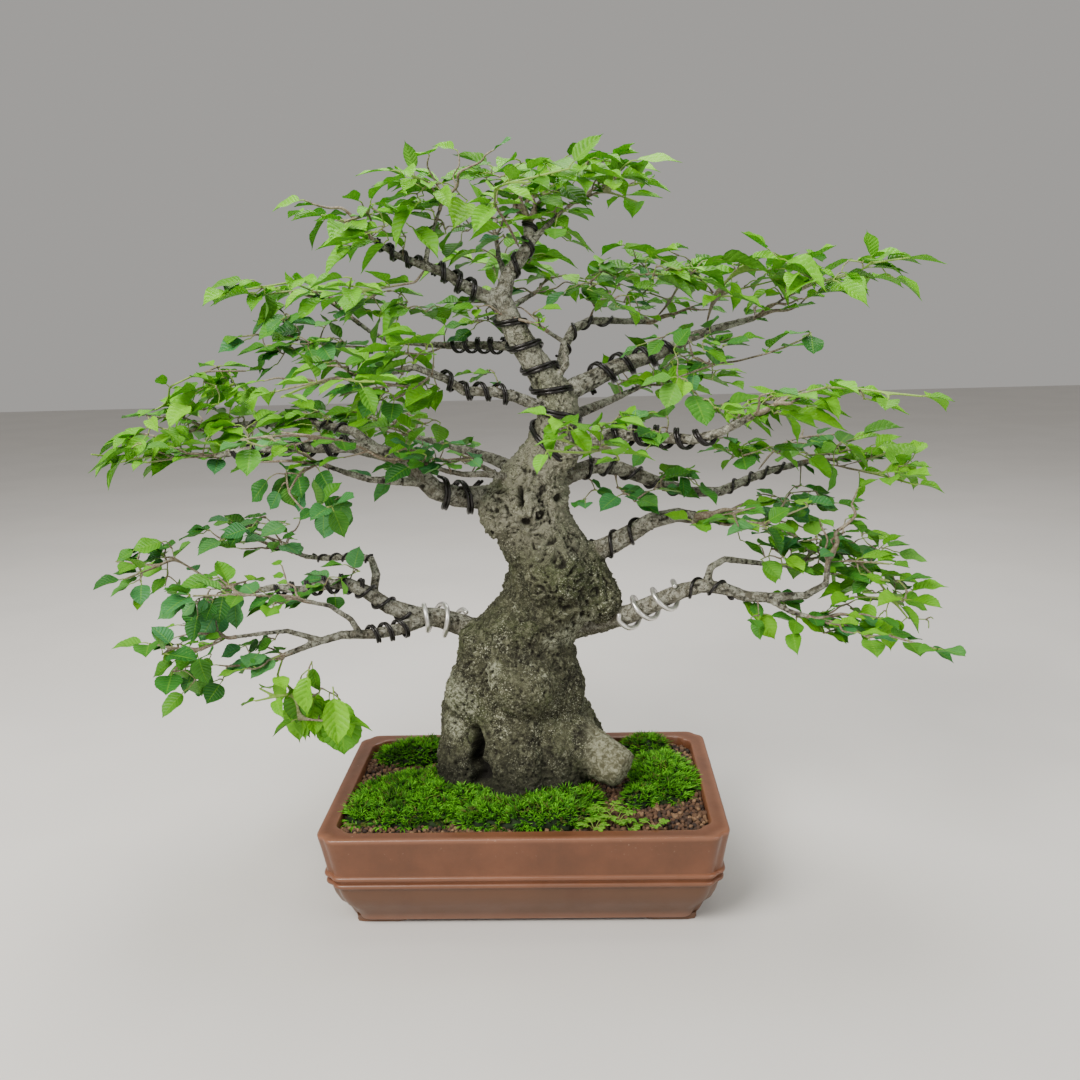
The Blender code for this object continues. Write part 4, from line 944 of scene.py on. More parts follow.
def wire_line(node):
    """Centre line and radius of a wound wire, read from its four-sided solid."""
    bm = welded(node)
    side = sorted(edge.calc_length() for edge in bm.edges)[len(bm.verts) // 2]
    radius = side / math.sqrt(2)

    def is_cap(face):
        lengths = sorted(edge.calc_length() for edge in face.edges)
        wanted = (side, side, 2 * radius)
        return all(abs(a - b) < 0.06 * b for a, b in zip(lengths, wanted))

    caps = [face for face in bm.faces if is_cap(face)]
    ring = set(caps[0].verts)
    for other in caps[1:]:
        if len(ring & set(other.verts)) == 2:
            ring |= set(other.verts)
            break
    rings, seen = [], set()
    while ring:
        rings.append(sum((v.co for v in in_order(ring)), Vector()) / len(ring))
        seen |= ring
        ring = {e.other_vert(v) for v in ring for e in v.link_edges} - seen
    bm.free()
    return [np.array(p) for p in rings], radius


def wound_line(tree, route, turns, radius, start):
    """A line wound round whatever wood the route runs through."""
    axis = smooth_line(route, 12)
    count = int(turns * 14)
    points = []
    for i in range(count + 1):
        share = i / count * (len(axis) - 1)
        low = min(int(share), len(axis) - 2)
        centre = Vector(axis[low] + (axis[low + 1] - axis[low]) * (share - low))
        ahead = Vector(axis[low + 1] - axis[low]).normalized()
        side = ahead.cross(Vector((0.0, 1.0, 0.2))).normalized()
        up = side.cross(ahead)
        angle = 2 * math.pi * (start + i / 14)
        way = side * math.cos(angle) + up * math.sin(angle)
        hit = tree.ray_cast(centre, way, 0.06)
        reach = hit[3] if hit[0] is not None else 0.004
        points.append((centre, way, reach))
    reaches = [reach for _, _, reach in points]
    soft = [float(np.median(reaches[max(0, i - 3) : i + 4])) for i in range(len(reaches))]
    return [np.array(centre + way * (reach + radius * 0.9)) for (centre, way, _), reach in zip(points, soft)]


def with_strands(line, radius, strands, gap, turn):
    """Lines side by side along the winding's axis, for a line with so many points to a turn."""
    line = np.asarray(line)
    last = len(line) - 1 - turn
    starts = [min(max(i - turn // 2, 0), last) for i in range(len(line))]
    axis = np.array([line[i + turn] - line[i] for i in starts])
    axis /= np.maximum(np.linalg.norm(axis, axis=1), 1e-9)[:, None]
    return [line + axis * (2 * radius * gap * (k - 0.5 * (strands - 1))) for k in range(strands)]


class BONSAI_OT_wires(bpy.types.Operator):
    """Winds the dark and the bare training wires, most of them as two strands side by side."""

    bl_idname = "bonsai.wires"
    bl_label = "Training Wires"

    def execute(self, context):
        settings = context.scene.bonsai_wire
        dark = wire_finish("dark_wire", tuple(settings.dark), 0.35, 0.30)
        bare = wire_finish("bare_wire", tuple(settings.bare), 0.85, 0.34)
        tree = wood_tree()
        for node in nodes_named("wire_"):
            line, radius = wire_line(node)
            is_bare = node.endswith("bare")
            strands = 1 if is_bare else 2
            slot, material = ("wire_bare", bare) if is_bare else ("wire_dark", dark)
            self.wind(f"{node}_wound", smooth_line(line, 6), radius, strands, slot, material, [node], 48)
        for name, route, turns, radius, start, strands in EXTRA_WIRES:
            line = wound_line(tree, route, turns, radius, start)
            self.wind(f"wire_{name}_wound", smooth_line(line, 3), radius, strands, "wire_dark", dark, [], 42)
        return {"FINISHED"}

    def wind(self, name, line, radius, strands, slot, material, replaces, turn):
        gap = bpy.context.scene.bonsai_wire.strand_gap
        bundle = Bundle()
        wide = radius * (0.74 if strands > 1 else 1.0)
        for strand in with_strands(line, wide, strands, gap, turn):
            bundle.add(*tube_shape(strand, wide, 10, rounded=True))
        add_piece(name, bundle.mesh(name), [material], replaces)


# ---------------------------------------------------------------------------
# Soil and drain screens
# ---------------------------------------------------------------------------


class SoilSettings(bpy.types.PropertyGroup):
    granule: bpy.props.FloatProperty(
        name="Granule", description="Usual width of one granule", default=0.0050, unit="LENGTH", precision=4
    )
    spread: bpy.props.FloatProperty(
        name="Spread", description="Share by which granules differ in size",
        default=0.32, subtype="FACTOR", min=0, max=0.6,
    )
    seed: bpy.props.IntProperty(name="Seed", description="Seed of the soil's layout", default=11)


def granule_shapes(draw, count=9):
    """A few worn, angular lumps of unit size."""
    shapes = []
    for _ in range(count):
        bm = bmesh.new()
        bmesh.ops.create_icosphere(bm, subdivisions=2, radius=0.5)
        offset = Vector((draw.uniform(-9, 9), draw.uniform(-9, 9), draw.uniform(-9, 9)))
        for vertex in bm.verts:
            lump = 1 + 0.34 * noise.noise(vertex.co * 2.6 + offset)
            lump += 0.10 * noise.noise(vertex.co * 7 + offset)
            vertex.co *= lump
        bm.verts.index_update()
        faces = [tuple(v.index for v in face.verts) for face in bm.faces]
        shapes.append((np.array([v.co[:] for v in bm.verts]), faces))
        bm.free()
    return shapes


class BONSAI_OT_soil(bpy.types.Operator):
    """Fills the pot with fired granules over a bed painted dark as shade, and finishes the drain screens."""

    bl_idname = "bonsai.soil"
    bl_label = "Soil"

    def execute(self, context):
        settings = context.scene.bonsai_soil
        draw = random.Random(settings.seed)
        material = granule_finish()
        add_piece("soil_bed", self.bed(), [material], ["soil"])
        shapes = granule_shapes(draw)
        top = SOIL_BOX[1].z
        half_x, half_y = SOIL_BOX[1].x, SOIL_BOX[1].y
        step = settings.granule * 0.82
        wood = wood_tree()
        cells = {}
        for row in range(int(2 * half_y / step) + 1):
            for column in range(int(2 * half_x / step) + 1):
                x = -half_x + (column + draw.uniform(0.1, 0.9)) * step
                y = -half_y + (row + draw.uniform(0.1, 0.9)) * step
                if not inside_pot(x, y, 0.0015) or under_moss(x, y, 0.72):
                    continue
                if in_wood(wood, Vector((x, y, top))):
                    continue
                size = settings.granule * (1 + draw.uniform(-settings.spread, settings.spread))
                lift = draw.uniform(-0.0016, 0.0010) + (0.0012 if draw.random() < 0.2 else 0.0)
                cells.setdefault((y < 0, x < 0), []).append((x, y, top - 0.0006 + lift, size))
        for number, key in enumerate(sorted(cells)):
            bundle = Bundle("tint")
            for x, y, z, size in cells[key]:
                points, faces = draw.choice(shapes)
                angle = draw.uniform(0, 6.28)
                turn = Matrix.Rotation(angle, 3, (draw.uniform(-1, 1), draw.uniform(-1, 1), 0.4))
                squash = np.array([draw.uniform(0.85, 1.2), draw.uniform(0.8, 1.1), draw.uniform(0.7, 0.95)])
                moved = (points * squash * size) @ np.array(turn).T + (x, y, z)
                bundle.add(moved, faces, tint=draw.random())
            name = f"soil_granules_{number}"
            add_piece(name, bundle.mesh(name), [material])
        screen = screen_finish()
        for node in nodes_named("drain_screen"):
            NODES[node].data.materials.clear()
            NODES[node].data.materials.append(screen)
        return {"FINISHED"}

    def bed(self):
        """The packed soil under the loose granules, a little lower than they lie and painted near-black as
        the shade in the gaps.
        """
        bm = welded("soil")
        for vertex in bm.verts:
            if vertex.co.z > SOIL_BOX[1].z - 0.001:
                vertex.co.z -= 0.0016
        mesh = bpy.data.meshes.new("soil_bed")
        bm.to_mesh(mesh)
        bm.free()
        # A low tint gives the bed the granules' darkest colour: painted shade between the granules.
        layer = mesh.attributes.new("tint", "FLOAT", "POINT")
        layer.data.foreach_set("value", np.full(len(mesh.vertices), 0.06, np.float32))
        return mesh


def inside_pot(x, y, margin):
    """Whether a place on the soil lies inside the rim, past its notched corners."""
    half_x, half_y = SOIL_BOX[1].x - margin, SOIL_BOX[1].y - margin
    if abs(x) > half_x or abs(y) > half_y:
        return False
    return (half_x - abs(x)) + (half_y - abs(y)) > 0.019


# ---------------------------------------------------------------------------
# Moss
# ---------------------------------------------------------------------------

# Cushions beyond the solid ones: centre, half length, half depth, height.
MOSS_PATCHES = (
    (-0.030, -0.070, 0.040, 0.030, 0.016),
    (0.050, -0.044, 0.030, 0.026, 0.019),
    (-0.166, -0.052, 0.016, 0.040, 0.012),
    (0.132, 0.092, 0.028, 0.020, 0.018),
    (0.118, -0.036, 0.018, 0.018, 0.014),
    (-0.118, 0.104, 0.030, 0.014, 0.014),
    (-0.060, -0.040, 0.026, 0.030, 0.018),
    (0.010, -0.046, 0.040, 0.020, 0.018),
)

# The solid cushions that each stretch of blades stands for.
MOSS_NODES = {
    "left": ("moss_back_left", "moss_front_left"),
    "middle": ("moss_front_middle",),
    "right": ("moss_right",),
}

# How far to each side the moss's height is read for its slope.
SLOPE_STEP = 0.003

class MossSettings(bpy.types.PropertyGroup):
    blade: bpy.props.FloatProperty(
        name="Blade", description="Usual length of a moss blade", default=0.0092, unit="LENGTH", precision=4
    )
    pitch: bpy.props.FloatProperty(
        name="Pitch", description="Distance between tufts", default=0.0036, unit="LENGTH", precision=4
    )
    seed: bpy.props.IntProperty(name="Seed", description="Seed of the moss's growth", default=5)


def cushions():
    """Every cushion as (centre x, centre y, half length, half depth, height)."""
    found = []
    for node in nodes_named("moss_"):
        low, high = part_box(node)
        x, y, height = (low.x + high.x) / 2, (low.y + high.y) / 2, high.z - SOIL_BOX[1].z
        found.append((x, y, (high.x - low.x) / 2, (high.y - low.y) / 2, height))
    return found + [tuple(patch) for patch in MOSS_PATCHES]


def moss_height(x, y):
    """How high the moss stands over the soil here, or a negative number where there is none."""
    best = -1.0
    ripple = 0.16 * noise.noise(Vector((x * 45, y * 45, 0.3)))
    ripple += 0.10 * noise.noise(Vector((x * 120, y * 120, 2)))
    for cx, cy, half_x, half_y, height in cushions_now:
        away = math.hypot((x - cx) / half_x, (y - cy) / half_y) * (1 + ripple)
        if away < 1:
            lumps = 0.30 * noise.noise(Vector((x * 85, y * 85, 7.0)))
            best = max(best, height * (1 - away**3.2) * (0.95 + ripple + lumps))
    return best


cushions_now = cushions()


def under_moss(x, y, reach):
    return moss_height(x, y) > 0.0045 * reach


class BONSAI_OT_moss(bpy.types.Operator):
    """Grows the moss: mounds painted dark as shade, covered with tufts of short bright blades."""

    bl_idname = "bonsai.moss"
    bl_label = "Moss"

    def execute(self, context):
        settings = context.scene.bonsai_moss
        draw = random.Random(settings.seed)
        material = moss_finish()
        wood = wood_tree()
        self.mound(material)
        pitch = settings.pitch * 1
        bundles = {}
        half_x, half_y = SOIL_BOX[1].x, SOIL_BOX[1].y
        for row in range(int(2 * half_y / pitch) + 1):
            for column in range(int(2 * half_x / pitch) + 1):
                x = -half_x + (column + draw.random()) * pitch
                y = -half_y + (row + draw.random()) * pitch
                height = moss_height(x, y)
                if height < 0.0006 or not inside_pot(x, y, 0.002):
                    continue
                foot = Vector((x, y, SOIL_BOX[1].z + height * 0.80))
                if in_wood(wood, foot):
                    continue
                fall_x = moss_height(x - SLOPE_STEP, y) - moss_height(x + SLOPE_STEP, y)
                fall_y = moss_height(x, y - SLOPE_STEP) - moss_height(x, y + SLOPE_STEP)
                slope = Vector((fall_x, fall_y, 2 * SLOPE_STEP)).normalized()
                key = "left" if x < -0.045 else ("middle" if x < 0.095 else "right")
                if key not in bundles:
                    bundles[key] = Bundle("along", "tint")
                self.tuft(bundles[key], draw, foot, slope, settings.blade)
        for key, bundle in sorted(bundles.items()):
            mesh = bundle.mesh(f"moss_{key}")
            add_piece(f"moss_blades_{key}", mesh, [material], MOSS_NODES[key], smooth=False)
        return {"FINISHED"}

    def mound(self, material):
        """The body under the blades, one sheet over all cushions with a closed base, painted dark as the
        shade between the tufts.
        """
        step = 0.0034
        columns = int(2 * SOIL_BOX[1].x / step)
        rows = int(2 * SOIL_BOX[1].y / step)
        index, points, faces = {}, [], []
        for r in range(rows + 1):
            for c in range(columns + 1):
                x, y = -SOIL_BOX[1].x + c * step, -SOIL_BOX[1].y + r * step
                height = moss_height(x, y) if inside_pot(x, y, 0.002) else -1
                if height > 0:
                    index[r, c] = len(points)
                    points.append((x, y, SOIL_BOX[1].z + height * 0.78))
        for (r, c), first in index.items():
            corners = [(r, c), (r, c + 1), (r + 1, c + 1), (r + 1, c)]
            if all(corner in index for corner in corners):
                faces.append(tuple(index[corner] for corner in corners))
        bm = bmesh.new()
        verts = [bm.verts.new(p) for p in points]
        for face in faces:
            bm.faces.new([verts[i] for i in face])
        bmesh.ops.delete(bm, geom=[v for v in bm.verts if not v.link_faces], context="VERTS")
        rim = [edge for edge in bm.edges if edge.is_boundary]
        made = bmesh.ops.extrude_edge_only(bm, edges=rim)["geom"]
        for vertex in (v for v in made if isinstance(v, bmesh.types.BMVert)):
            vertex.co.z = SOIL_BOX[1].z - 0.004
        bmesh.ops.holes_fill(bm, edges=[e for e in bm.edges if e.is_boundary])
        bmesh.ops.recalc_face_normals(bm, faces=bm.faces)
        mesh = bpy.data.meshes.new("moss_mound")
        bm.to_mesh(mesh)
        bm.free()
        # The mound takes the blades' darkest colour: painted shade between the tufts.
        for name, value in (("along", 0.12), ("tint", 0.4)):
            layer = mesh.attributes.new(name, "FLOAT", "POINT")
            layer.data.foreach_set("value", np.full(len(mesh.vertices), value, np.float32))
        add_piece("moss_mound", mesh, [material])

    def tuft(self, bundle, draw, foot, slope, blade):
        """A few blades that spread from one point."""
        tint = draw.random()
        grown = draw.uniform(0.70, 1.35)
        for _ in range(9):
            way = slope + Vector((draw.gauss(0, 0.55), draw.gauss(0, 0.55), draw.gauss(0.20, 0.25)))
            way.normalize()
            length = blade * grown * draw.uniform(0.65, 1.15)
            width = 0.00074 * draw.uniform(0.8, 1.3)
            side = way.cross(Vector((draw.uniform(-1, 1), draw.uniform(-1, 1), 0.2))).normalized()
            back = way.cross(side)
            start = foot - way * 0.002
            middle = start + way * (length * 0.55)
            tip = start + way * length + Vector((way.x, way.y, -0.6)) * (length * 0.16)
            points = []
            for centre, r in ((start, width), (middle, width * 0.85)):
                half, deep = side * (r * 0.5), back * (r * 0.86)
                points += [centre + side * r, centre - half + deep, centre - half - deep]
            points.append(tip)
            faces = [(2, 1, 0)]
            faces += [(i, (i + 1) % 3, 3 + (i + 1) % 3, 3 + i) for i in range(3)]
            faces += [(3 + i, 3 + (i + 1) % 3, 6) for i in range(3)]
            shade = min(1.0, max(0.0, tint + draw.uniform(-0.25, 0.25)))
            bundle.add([p[:] for p in points], faces, along=[0.0] * 3 + [0.6] * 3 + [1.0], tint=shade)


# ---------------------------------------------------------------------------
# Leaves
# ---------------------------------------------------------------------------

LEAF_ROWS = 15
LEAF_HALF_COLUMNS = 3

# Where more leaves hang than the solid sprays hold: centre, half sizes, how many, age from
# 0 (new) to 1 (old), and how far they hang instead of lying flat.
PADS = (
    ((0.020, 0.030, 0.720), (0.081, 0.070, 0.020), 20, 0.10, 0.0),
    ((0.088, 0.020, 0.722), (0.045, 0.050, 0.016), 9, 0.05, 0.0),
    ((-0.066, 0.010, 0.702), (0.045, 0.050, 0.022), 9, 0.05, 0.0),
    ((-0.127, -0.010, 0.671), (0.044, 0.040, 0.018), 8, 0.10, 0.0),
    ((-0.040, 0.030, 0.668), (0.046, 0.050, 0.018), 8, 0.45, 0.0),
    ((0.048, 0.040, 0.675), (0.036, 0.050, 0.018), 6, 0.45, 0.0),
    ((-0.231, 0.040, 0.620), (0.057, 0.040, 0.018), 7, 0.05, 0.0),
    ((-0.217, 0.030, 0.573), (0.049, 0.050, 0.035), 18, 0.75, 0.2),
    ((-0.120, 0.040, 0.603), (0.057, 0.050, 0.018), 11, 0.35, 0.0),
    ((-0.046, 0.050, 0.588), (0.036, 0.040, 0.017), 6, 0.55, 0.0),
    ((-0.114, -0.020, 0.532), (0.053, 0.060, 0.021), 12, 0.30, 0.0),
    ((-0.083, -0.060, 0.561), (0.037, 0.040, 0.013), 6, 0.20, 0.0),
    ((-0.024, 0.030, 0.538), (0.025, 0.020, 0.008), 3, 0.60, 0.0),
    ((-0.312, 0.030, 0.518), (0.041, 0.050, 0.020), 12, 0.10, 0.0),
    ((-0.352, -0.010, 0.478), (0.029, 0.050, 0.029), 11, 0.15, 0.1),
    ((-0.277, 0.000, 0.483), (0.050, 0.060, 0.014), 12, 0.30, 0.0),
    ((-0.195, 0.020, 0.491), (0.050, 0.060, 0.014), 12, 0.30, 0.0),
    ((-0.120, 0.030, 0.483), (0.041, 0.050, 0.012), 8, 0.35, 0.0),
    ((-0.206, -0.050, 0.448), (0.034, 0.030, 0.019), 7, 0.90, 0.5),
    ((-0.170, -0.070, 0.419), (0.013, 0.020, 0.020), 3, 0.80, 1.0),
    ((-0.074, -0.020, 0.451), (0.049, 0.030, 0.008), 8, 0.85, 0.0),
    ((-0.284, 0.030, 0.378), (0.051, 0.050, 0.010), 9, 0.75, 0.0),
    ((-0.372, 0.000, 0.344), (0.026, 0.050, 0.036), 10, 0.60, 0.2),
    ((-0.290, -0.060, 0.323), (0.030, 0.030, 0.022), 7, 0.95, 0.6),
    ((-0.319, -0.070, 0.259), (0.041, 0.040, 0.020), 7, 0.60, 0.3),
    ((-0.255, -0.060, 0.268), (0.028, 0.030, 0.015), 5, 0.80, 0.3),
    ((-0.193, -0.080, 0.240), (0.024, 0.020, 0.031), 8, 0.25, 1.0),
    ((-0.228, 0.000, 0.320), (0.040, 0.050, 0.018), 6, 0.60, 0.0),
    ((-0.170, 0.000, 0.336), (0.025, 0.030, 0.012), 3, 0.60, 0.0),
    ((0.107, 0.050, 0.608), (0.057, 0.060, 0.027), 18, 0.50, 0.0),
    ((0.186, 0.040, 0.630), (0.057, 0.050, 0.025), 14, 0.25, 0.0),
    ((0.277, 0.050, 0.624), (0.052, 0.050, 0.027), 14, 0.20, 0.0),
    ((0.348, 0.050, 0.622), (0.031, 0.030, 0.015), 5, 0.00, 0.0),
    ((0.174, 0.020, 0.556), (0.056, 0.050, 0.018), 12, 0.60, 0.0),
    ((0.059, -0.080, 0.490), (0.037, 0.030, 0.011), 6, 0.15, 0.0),
    ((0.122, -0.030, 0.480), (0.043, 0.060, 0.021), 12, 0.50, 0.0),
    ((0.197, -0.040, 0.506), (0.048, 0.050, 0.017), 9, 0.35, 0.0),
    ((0.268, -0.060, 0.506), (0.039, 0.040, 0.017), 7, 0.10, 0.0),
    ((0.324, -0.060, 0.510), (0.015, 0.020, 0.007), 2, 0.10, 0.0),
    ((0.222, 0.000, 0.455), (0.050, 0.050, 0.018), 10, 0.50, 0.0),
    ((0.332, 0.050, 0.444), (0.047, 0.050, 0.015), 9, 0.30, 0.0),
    ((0.373, 0.010, 0.428), (0.040, 0.050, 0.014), 8, 0.10, 0.0),
    ((0.278, 0.030, 0.396), (0.051, 0.060, 0.022), 11, 0.70, 0.0),
    ((0.098, 0.020, 0.405), (0.038, 0.040, 0.008), 6, 0.80, 0.0),
    ((0.164, 0.020, 0.416), (0.035, 0.040, 0.018), 7, 0.60, 0.0),
    ((0.261, -0.010, 0.363), (0.051, 0.060, 0.022), 14, 0.55, 0.0),
    ((0.336, 0.010, 0.344), (0.042, 0.060, 0.024), 15, 0.45, 0.0),
    ((0.369, -0.020, 0.312), (0.029, 0.050, 0.023), 10, 0.40, 0.0),
    ((0.405, -0.030, 0.281), (0.013, 0.020, 0.008), 2, 0.00, 0.0),
    ((0.296, -0.040, 0.286), (0.042, 0.050, 0.015), 10, 0.55, 0.0),
    ((0.239, -0.030, 0.299), (0.031, 0.040, 0.013), 5, 0.60, 0.0),
    ((-0.010, 0.150, 0.650), (0.070, 0.045, 0.022), 12, 0.30, 0.0),
    ((-0.080, 0.165, 0.430), (0.070, 0.035, 0.020), 12, 0.60, 0.0),
    ((-0.170, 0.140, 0.475), (0.060, 0.040, 0.022), 12, 0.45, 0.0),
    ((0.150, 0.150, 0.520), (0.070, 0.045, 0.022), 12, 0.40, 0.0),
    ((0.140, 0.125, 0.640), (0.060, 0.050, 0.024), 9, 0.30, 0.0),
)


# Ends of the branches, where thinner limbs carry on: a point before the end, the end and its radius.
BRANCH_ENDS = (
    ((-0.257, 0.010, 0.319), (-0.282, 0.010, 0.315), 0.0032),
    ((-0.240, 0.080, 0.335), (-0.263, 0.090, 0.341), 0.0028),
    ((-0.203, -0.042, 0.275), (-0.234, -0.055, 0.266), 0.0030),
    ((-0.187, -0.048, 0.314), (-0.210, -0.060, 0.323), 0.0024),
    ((-0.250, -0.065, 0.292), (-0.282, -0.075, 0.291), 0.0022),
    ((-0.262, -0.020, 0.467), (-0.297, -0.020, 0.462), 0.0032),
    ((-0.294, 0.040, 0.486), (-0.327, 0.045, 0.481), 0.0028),
    ((-0.165, -0.042, 0.446), (-0.186, -0.050, 0.456), 0.0028),
    ((-0.069, -0.022, 0.442), (-0.087, -0.028, 0.450), 0.0026),
    ((-0.121, -0.040, 0.539), (-0.149, -0.050, 0.540), 0.0028),
    ((-0.157, 0.095, 0.576), (-0.176, 0.100, 0.590), 0.0026),
    ((-0.111, 0.005, 0.650), (-0.133, 0.000, 0.666), 0.0028),
    ((-0.078, 0.006, 0.662), (-0.063, 0.000, 0.697), 0.0020),
    ((0.018, 0.034, 0.660), (0.017, 0.040, 0.678), 0.0058),
    ((0.046, 0.043, 0.685), (0.062, 0.050, 0.697), 0.0022),
    ((-0.014, 0.044, 0.646), (-0.017, 0.060, 0.668), 0.0024),
    ((0.209, 0.081, 0.570), (0.247, 0.085, 0.579), 0.0034),
    ((0.101, 0.102, 0.580), (0.144, 0.125, 0.577), 0.0030),
    ((0.050, 0.018, 0.562), (0.028, 0.016, 0.577), 0.0024),
    ((0.194, -0.067, 0.479), (0.222, -0.080, 0.495), 0.0034),
    ((0.268, 0.075, 0.421), (0.307, 0.080, 0.428), 0.0034),
    ((0.161, 0.010, 0.387), (0.179, 0.000, 0.385), 0.0070),
    ((0.300, -0.045, 0.326), (0.301, -0.045, 0.347), 0.0030),
    ((0.255, 0.002, 0.335), (0.279, 0.010, 0.331), 0.0026),
    ((0.264, -0.052, 0.301), (0.287, -0.062, 0.296), 0.0026),
    ((-0.022, 0.150, 0.404), (-0.050, 0.176, 0.416), 0.0034),
    ((-0.075, 0.104, 0.450), (-0.120, 0.134, 0.458), 0.0030),
    ((0.096, 0.118, 0.494), (0.130, 0.150, 0.505), 0.0030),
    ((-0.002, 0.108, 0.600), (0.018, 0.146, 0.612), 0.0028),
)


class LeafSettings(bpy.types.PropertyGroup):
    thickness: bpy.props.FloatProperty(
        name="Thickness", description="Thickness of a leaf", default=0.0003, unit="LENGTH", precision=5
    )
    length: bpy.props.FloatProperty(
        name="Length", description="Usual length of a full-grown leaf",
        default=0.034, unit="LENGTH", precision=4,
    )
    crowding: bpy.props.FloatProperty(
        name="Crowding", description="How many leaves stand between the sprays, against the listed counts",
        default=1.5,
    )
    reach: bpy.props.FloatProperty(
        name="Reach", description="Longest twig that a leaf may hang on",
        default=0.110, unit="LENGTH", precision=4,
    )
    young: bpy.props.FloatVectorProperty(
        name="New Leaves", description="Colour of new leaves",
        default=(0.185, 0.560, 0.006), subtype="COLOR", size=3,
    )
    old: bpy.props.FloatVectorProperty(
        name="Old Leaves", description="Colour of full-grown leaves",
        default=(0.036, 0.225, 0.030), subtype="COLOR", size=3,
    )
    seed: bpy.props.IntProperty(name="Seed", description="Seed of the leaves' growth", default=3)


def leaf_shape(widest, point, teeth_depth, fold, droop, ripple, phase):
    """A unit leaf along +X with its upper face to +Z, as (points, faces, along, across, under)."""
    rows, half = LEAF_ROWS, LEAF_HALF_COLUMNS
    bend = math.log(0.5) / math.log(widest)
    upper, along, across = [(0.0, 0.0, 0.0)], [0.0], [0.0]
    for r in range(1, rows + 1):
        u = r / (rows + 1)
        width = math.sin(math.pi * u**bend) ** (0.60 + 1.6 * point * u**4)
        for c in range(-half, half + 1):
            v = c / half
            tooth = teeth_depth * (1 if r % 2 else -1) if abs(c) == half else 0.0
            x = u + (0.006 if tooth > 0 else 0.0)
            y = 0.5 * v * width * (1 + tooth)
            vein = abs(math.sin((u - 0.20 * abs(v)) * 8 * math.pi)) * (1 - abs(v) ** 3)
            z = fold * abs(y) - droop * u * u + 0.016 * vein * (abs(v) > 0.1)
            z += ripple * math.sin(9 * u + phase + (2.0 if v > 0 else 0.0)) * v * v * width
            upper.append((x, y, z))
            along.append(u)
            across.append(v)
    upper.append((1.0, 0.0, -droop))
    along.append(1.0)
    across.append(0.0)
    wide = 2 * half + 1
    tip = len(upper) - 1
    lower_of = {0: 0, tip: tip}
    points, under = list(upper), [0.0] * len(upper)
    for r in range(rows):
        for c in range(wide):
            i = 1 + r * wide + c
            if c in (0, wide - 1):
                lower_of[i] = i
                continue
            lower_of[i] = len(points)
            x, y, z = upper[i]
            points.append((x, y, z))
            under.append(1.0)
            along.append(along[i])
            across.append(across[i])
    faces = []
    for c in range(wide - 1):
        faces.append((0, 1 + c + 1, 1 + c)[::-1])
        last = 1 + (rows - 1) * wide + c
        faces.append((tip, last, last + 1)[::-1])
    for r in range(rows - 1):
        for c in range(wide - 1):
            i = 1 + r * wide + c
            faces.append((i, i + wide, i + wide + 1, i + 1))
    top_count = len(faces)
    faces = [face if is_up(points, face) else face[::-1] for face in faces]
    for face in faces[:top_count]:
        mirrored = tuple(lower_of[i] for i in reversed(face))
        faces.append(mirrored)
    return np.array(points), faces, np.array(along), np.array(across), np.array(under)


def is_up(points, face):
    a, b, c = (np.array(points[i]) for i in face[:3])
    return np.cross(b - a, c - a)[2] > 0


class LeafMaker:
    """Keeps a set of leaf shapes and adds turned, scaled copies of them to bundles."""

    def __init__(self, draw, thickness):
        self.draw = draw
        self.thickness = thickness
        self.old = [self.make(0.42, 0.55, 0.020) for _ in range(7)]
        self.new = [self.make(0.38, 1.15, 0.026) for _ in range(7)]

    def make(self, widest, point, teeth):
        draw = self.draw
        return leaf_shape(
            widest + draw.uniform(-0.03, 0.03),
            point * draw.uniform(0.8, 1.25),
            teeth,
            draw.uniform(0.06, 0.36),
            draw.uniform(-0.02, 0.26),
            draw.uniform(0.01, 0.06),
            draw.uniform(0, 6.28),
        )

    def leaf(self, bundle, base, way, up, length, width, age, stalk):
        """One leaf on a thin stalk: base is where the stalk leaves the twig."""
        draw = self.draw
        way = way.normalized()
        side = up.cross(way)
        if side.length < 1e-4:
            side = Vector((1, 0, 0)).cross(way)
        side.normalize()
        up = way.cross(side)
        start = base + way * stalk + up * (stalk * 0.10)
        points, faces, along, across, under = draw.choice(self.new if age < 0.4 else self.old)
        scaled = points * (length, width, length)
        scaled[:, 2] -= under * self.thickness
        turn = np.array([way, side, up])
        moved = scaled @ turn + np.array(start)
        tint = draw.random()
        here = {"age": min(1.0, max(0.0, age + draw.uniform(-0.12, 0.12))), "tint": tint}
        bundle.add(moved, faces, along=along, across=across, under=under, stalk=0.0, **here)
        bow = base + way * (stalk * 0.5) + up * (stalk * 0.16)
        line = [np.array(base), np.array(bow), np.array(start + way * (length * 0.03))]
        thin = 0.00042 + 0.008 * length
        shape = tube_shape(smooth_line(line, 2), [thin * 1.15, thin, thin * 0.9, thin * 0.8, thin * 0.6], 5)
        bundle.add(*shape, along=0.0, across=0.0, under=0.0, stalk=1.0, **here)


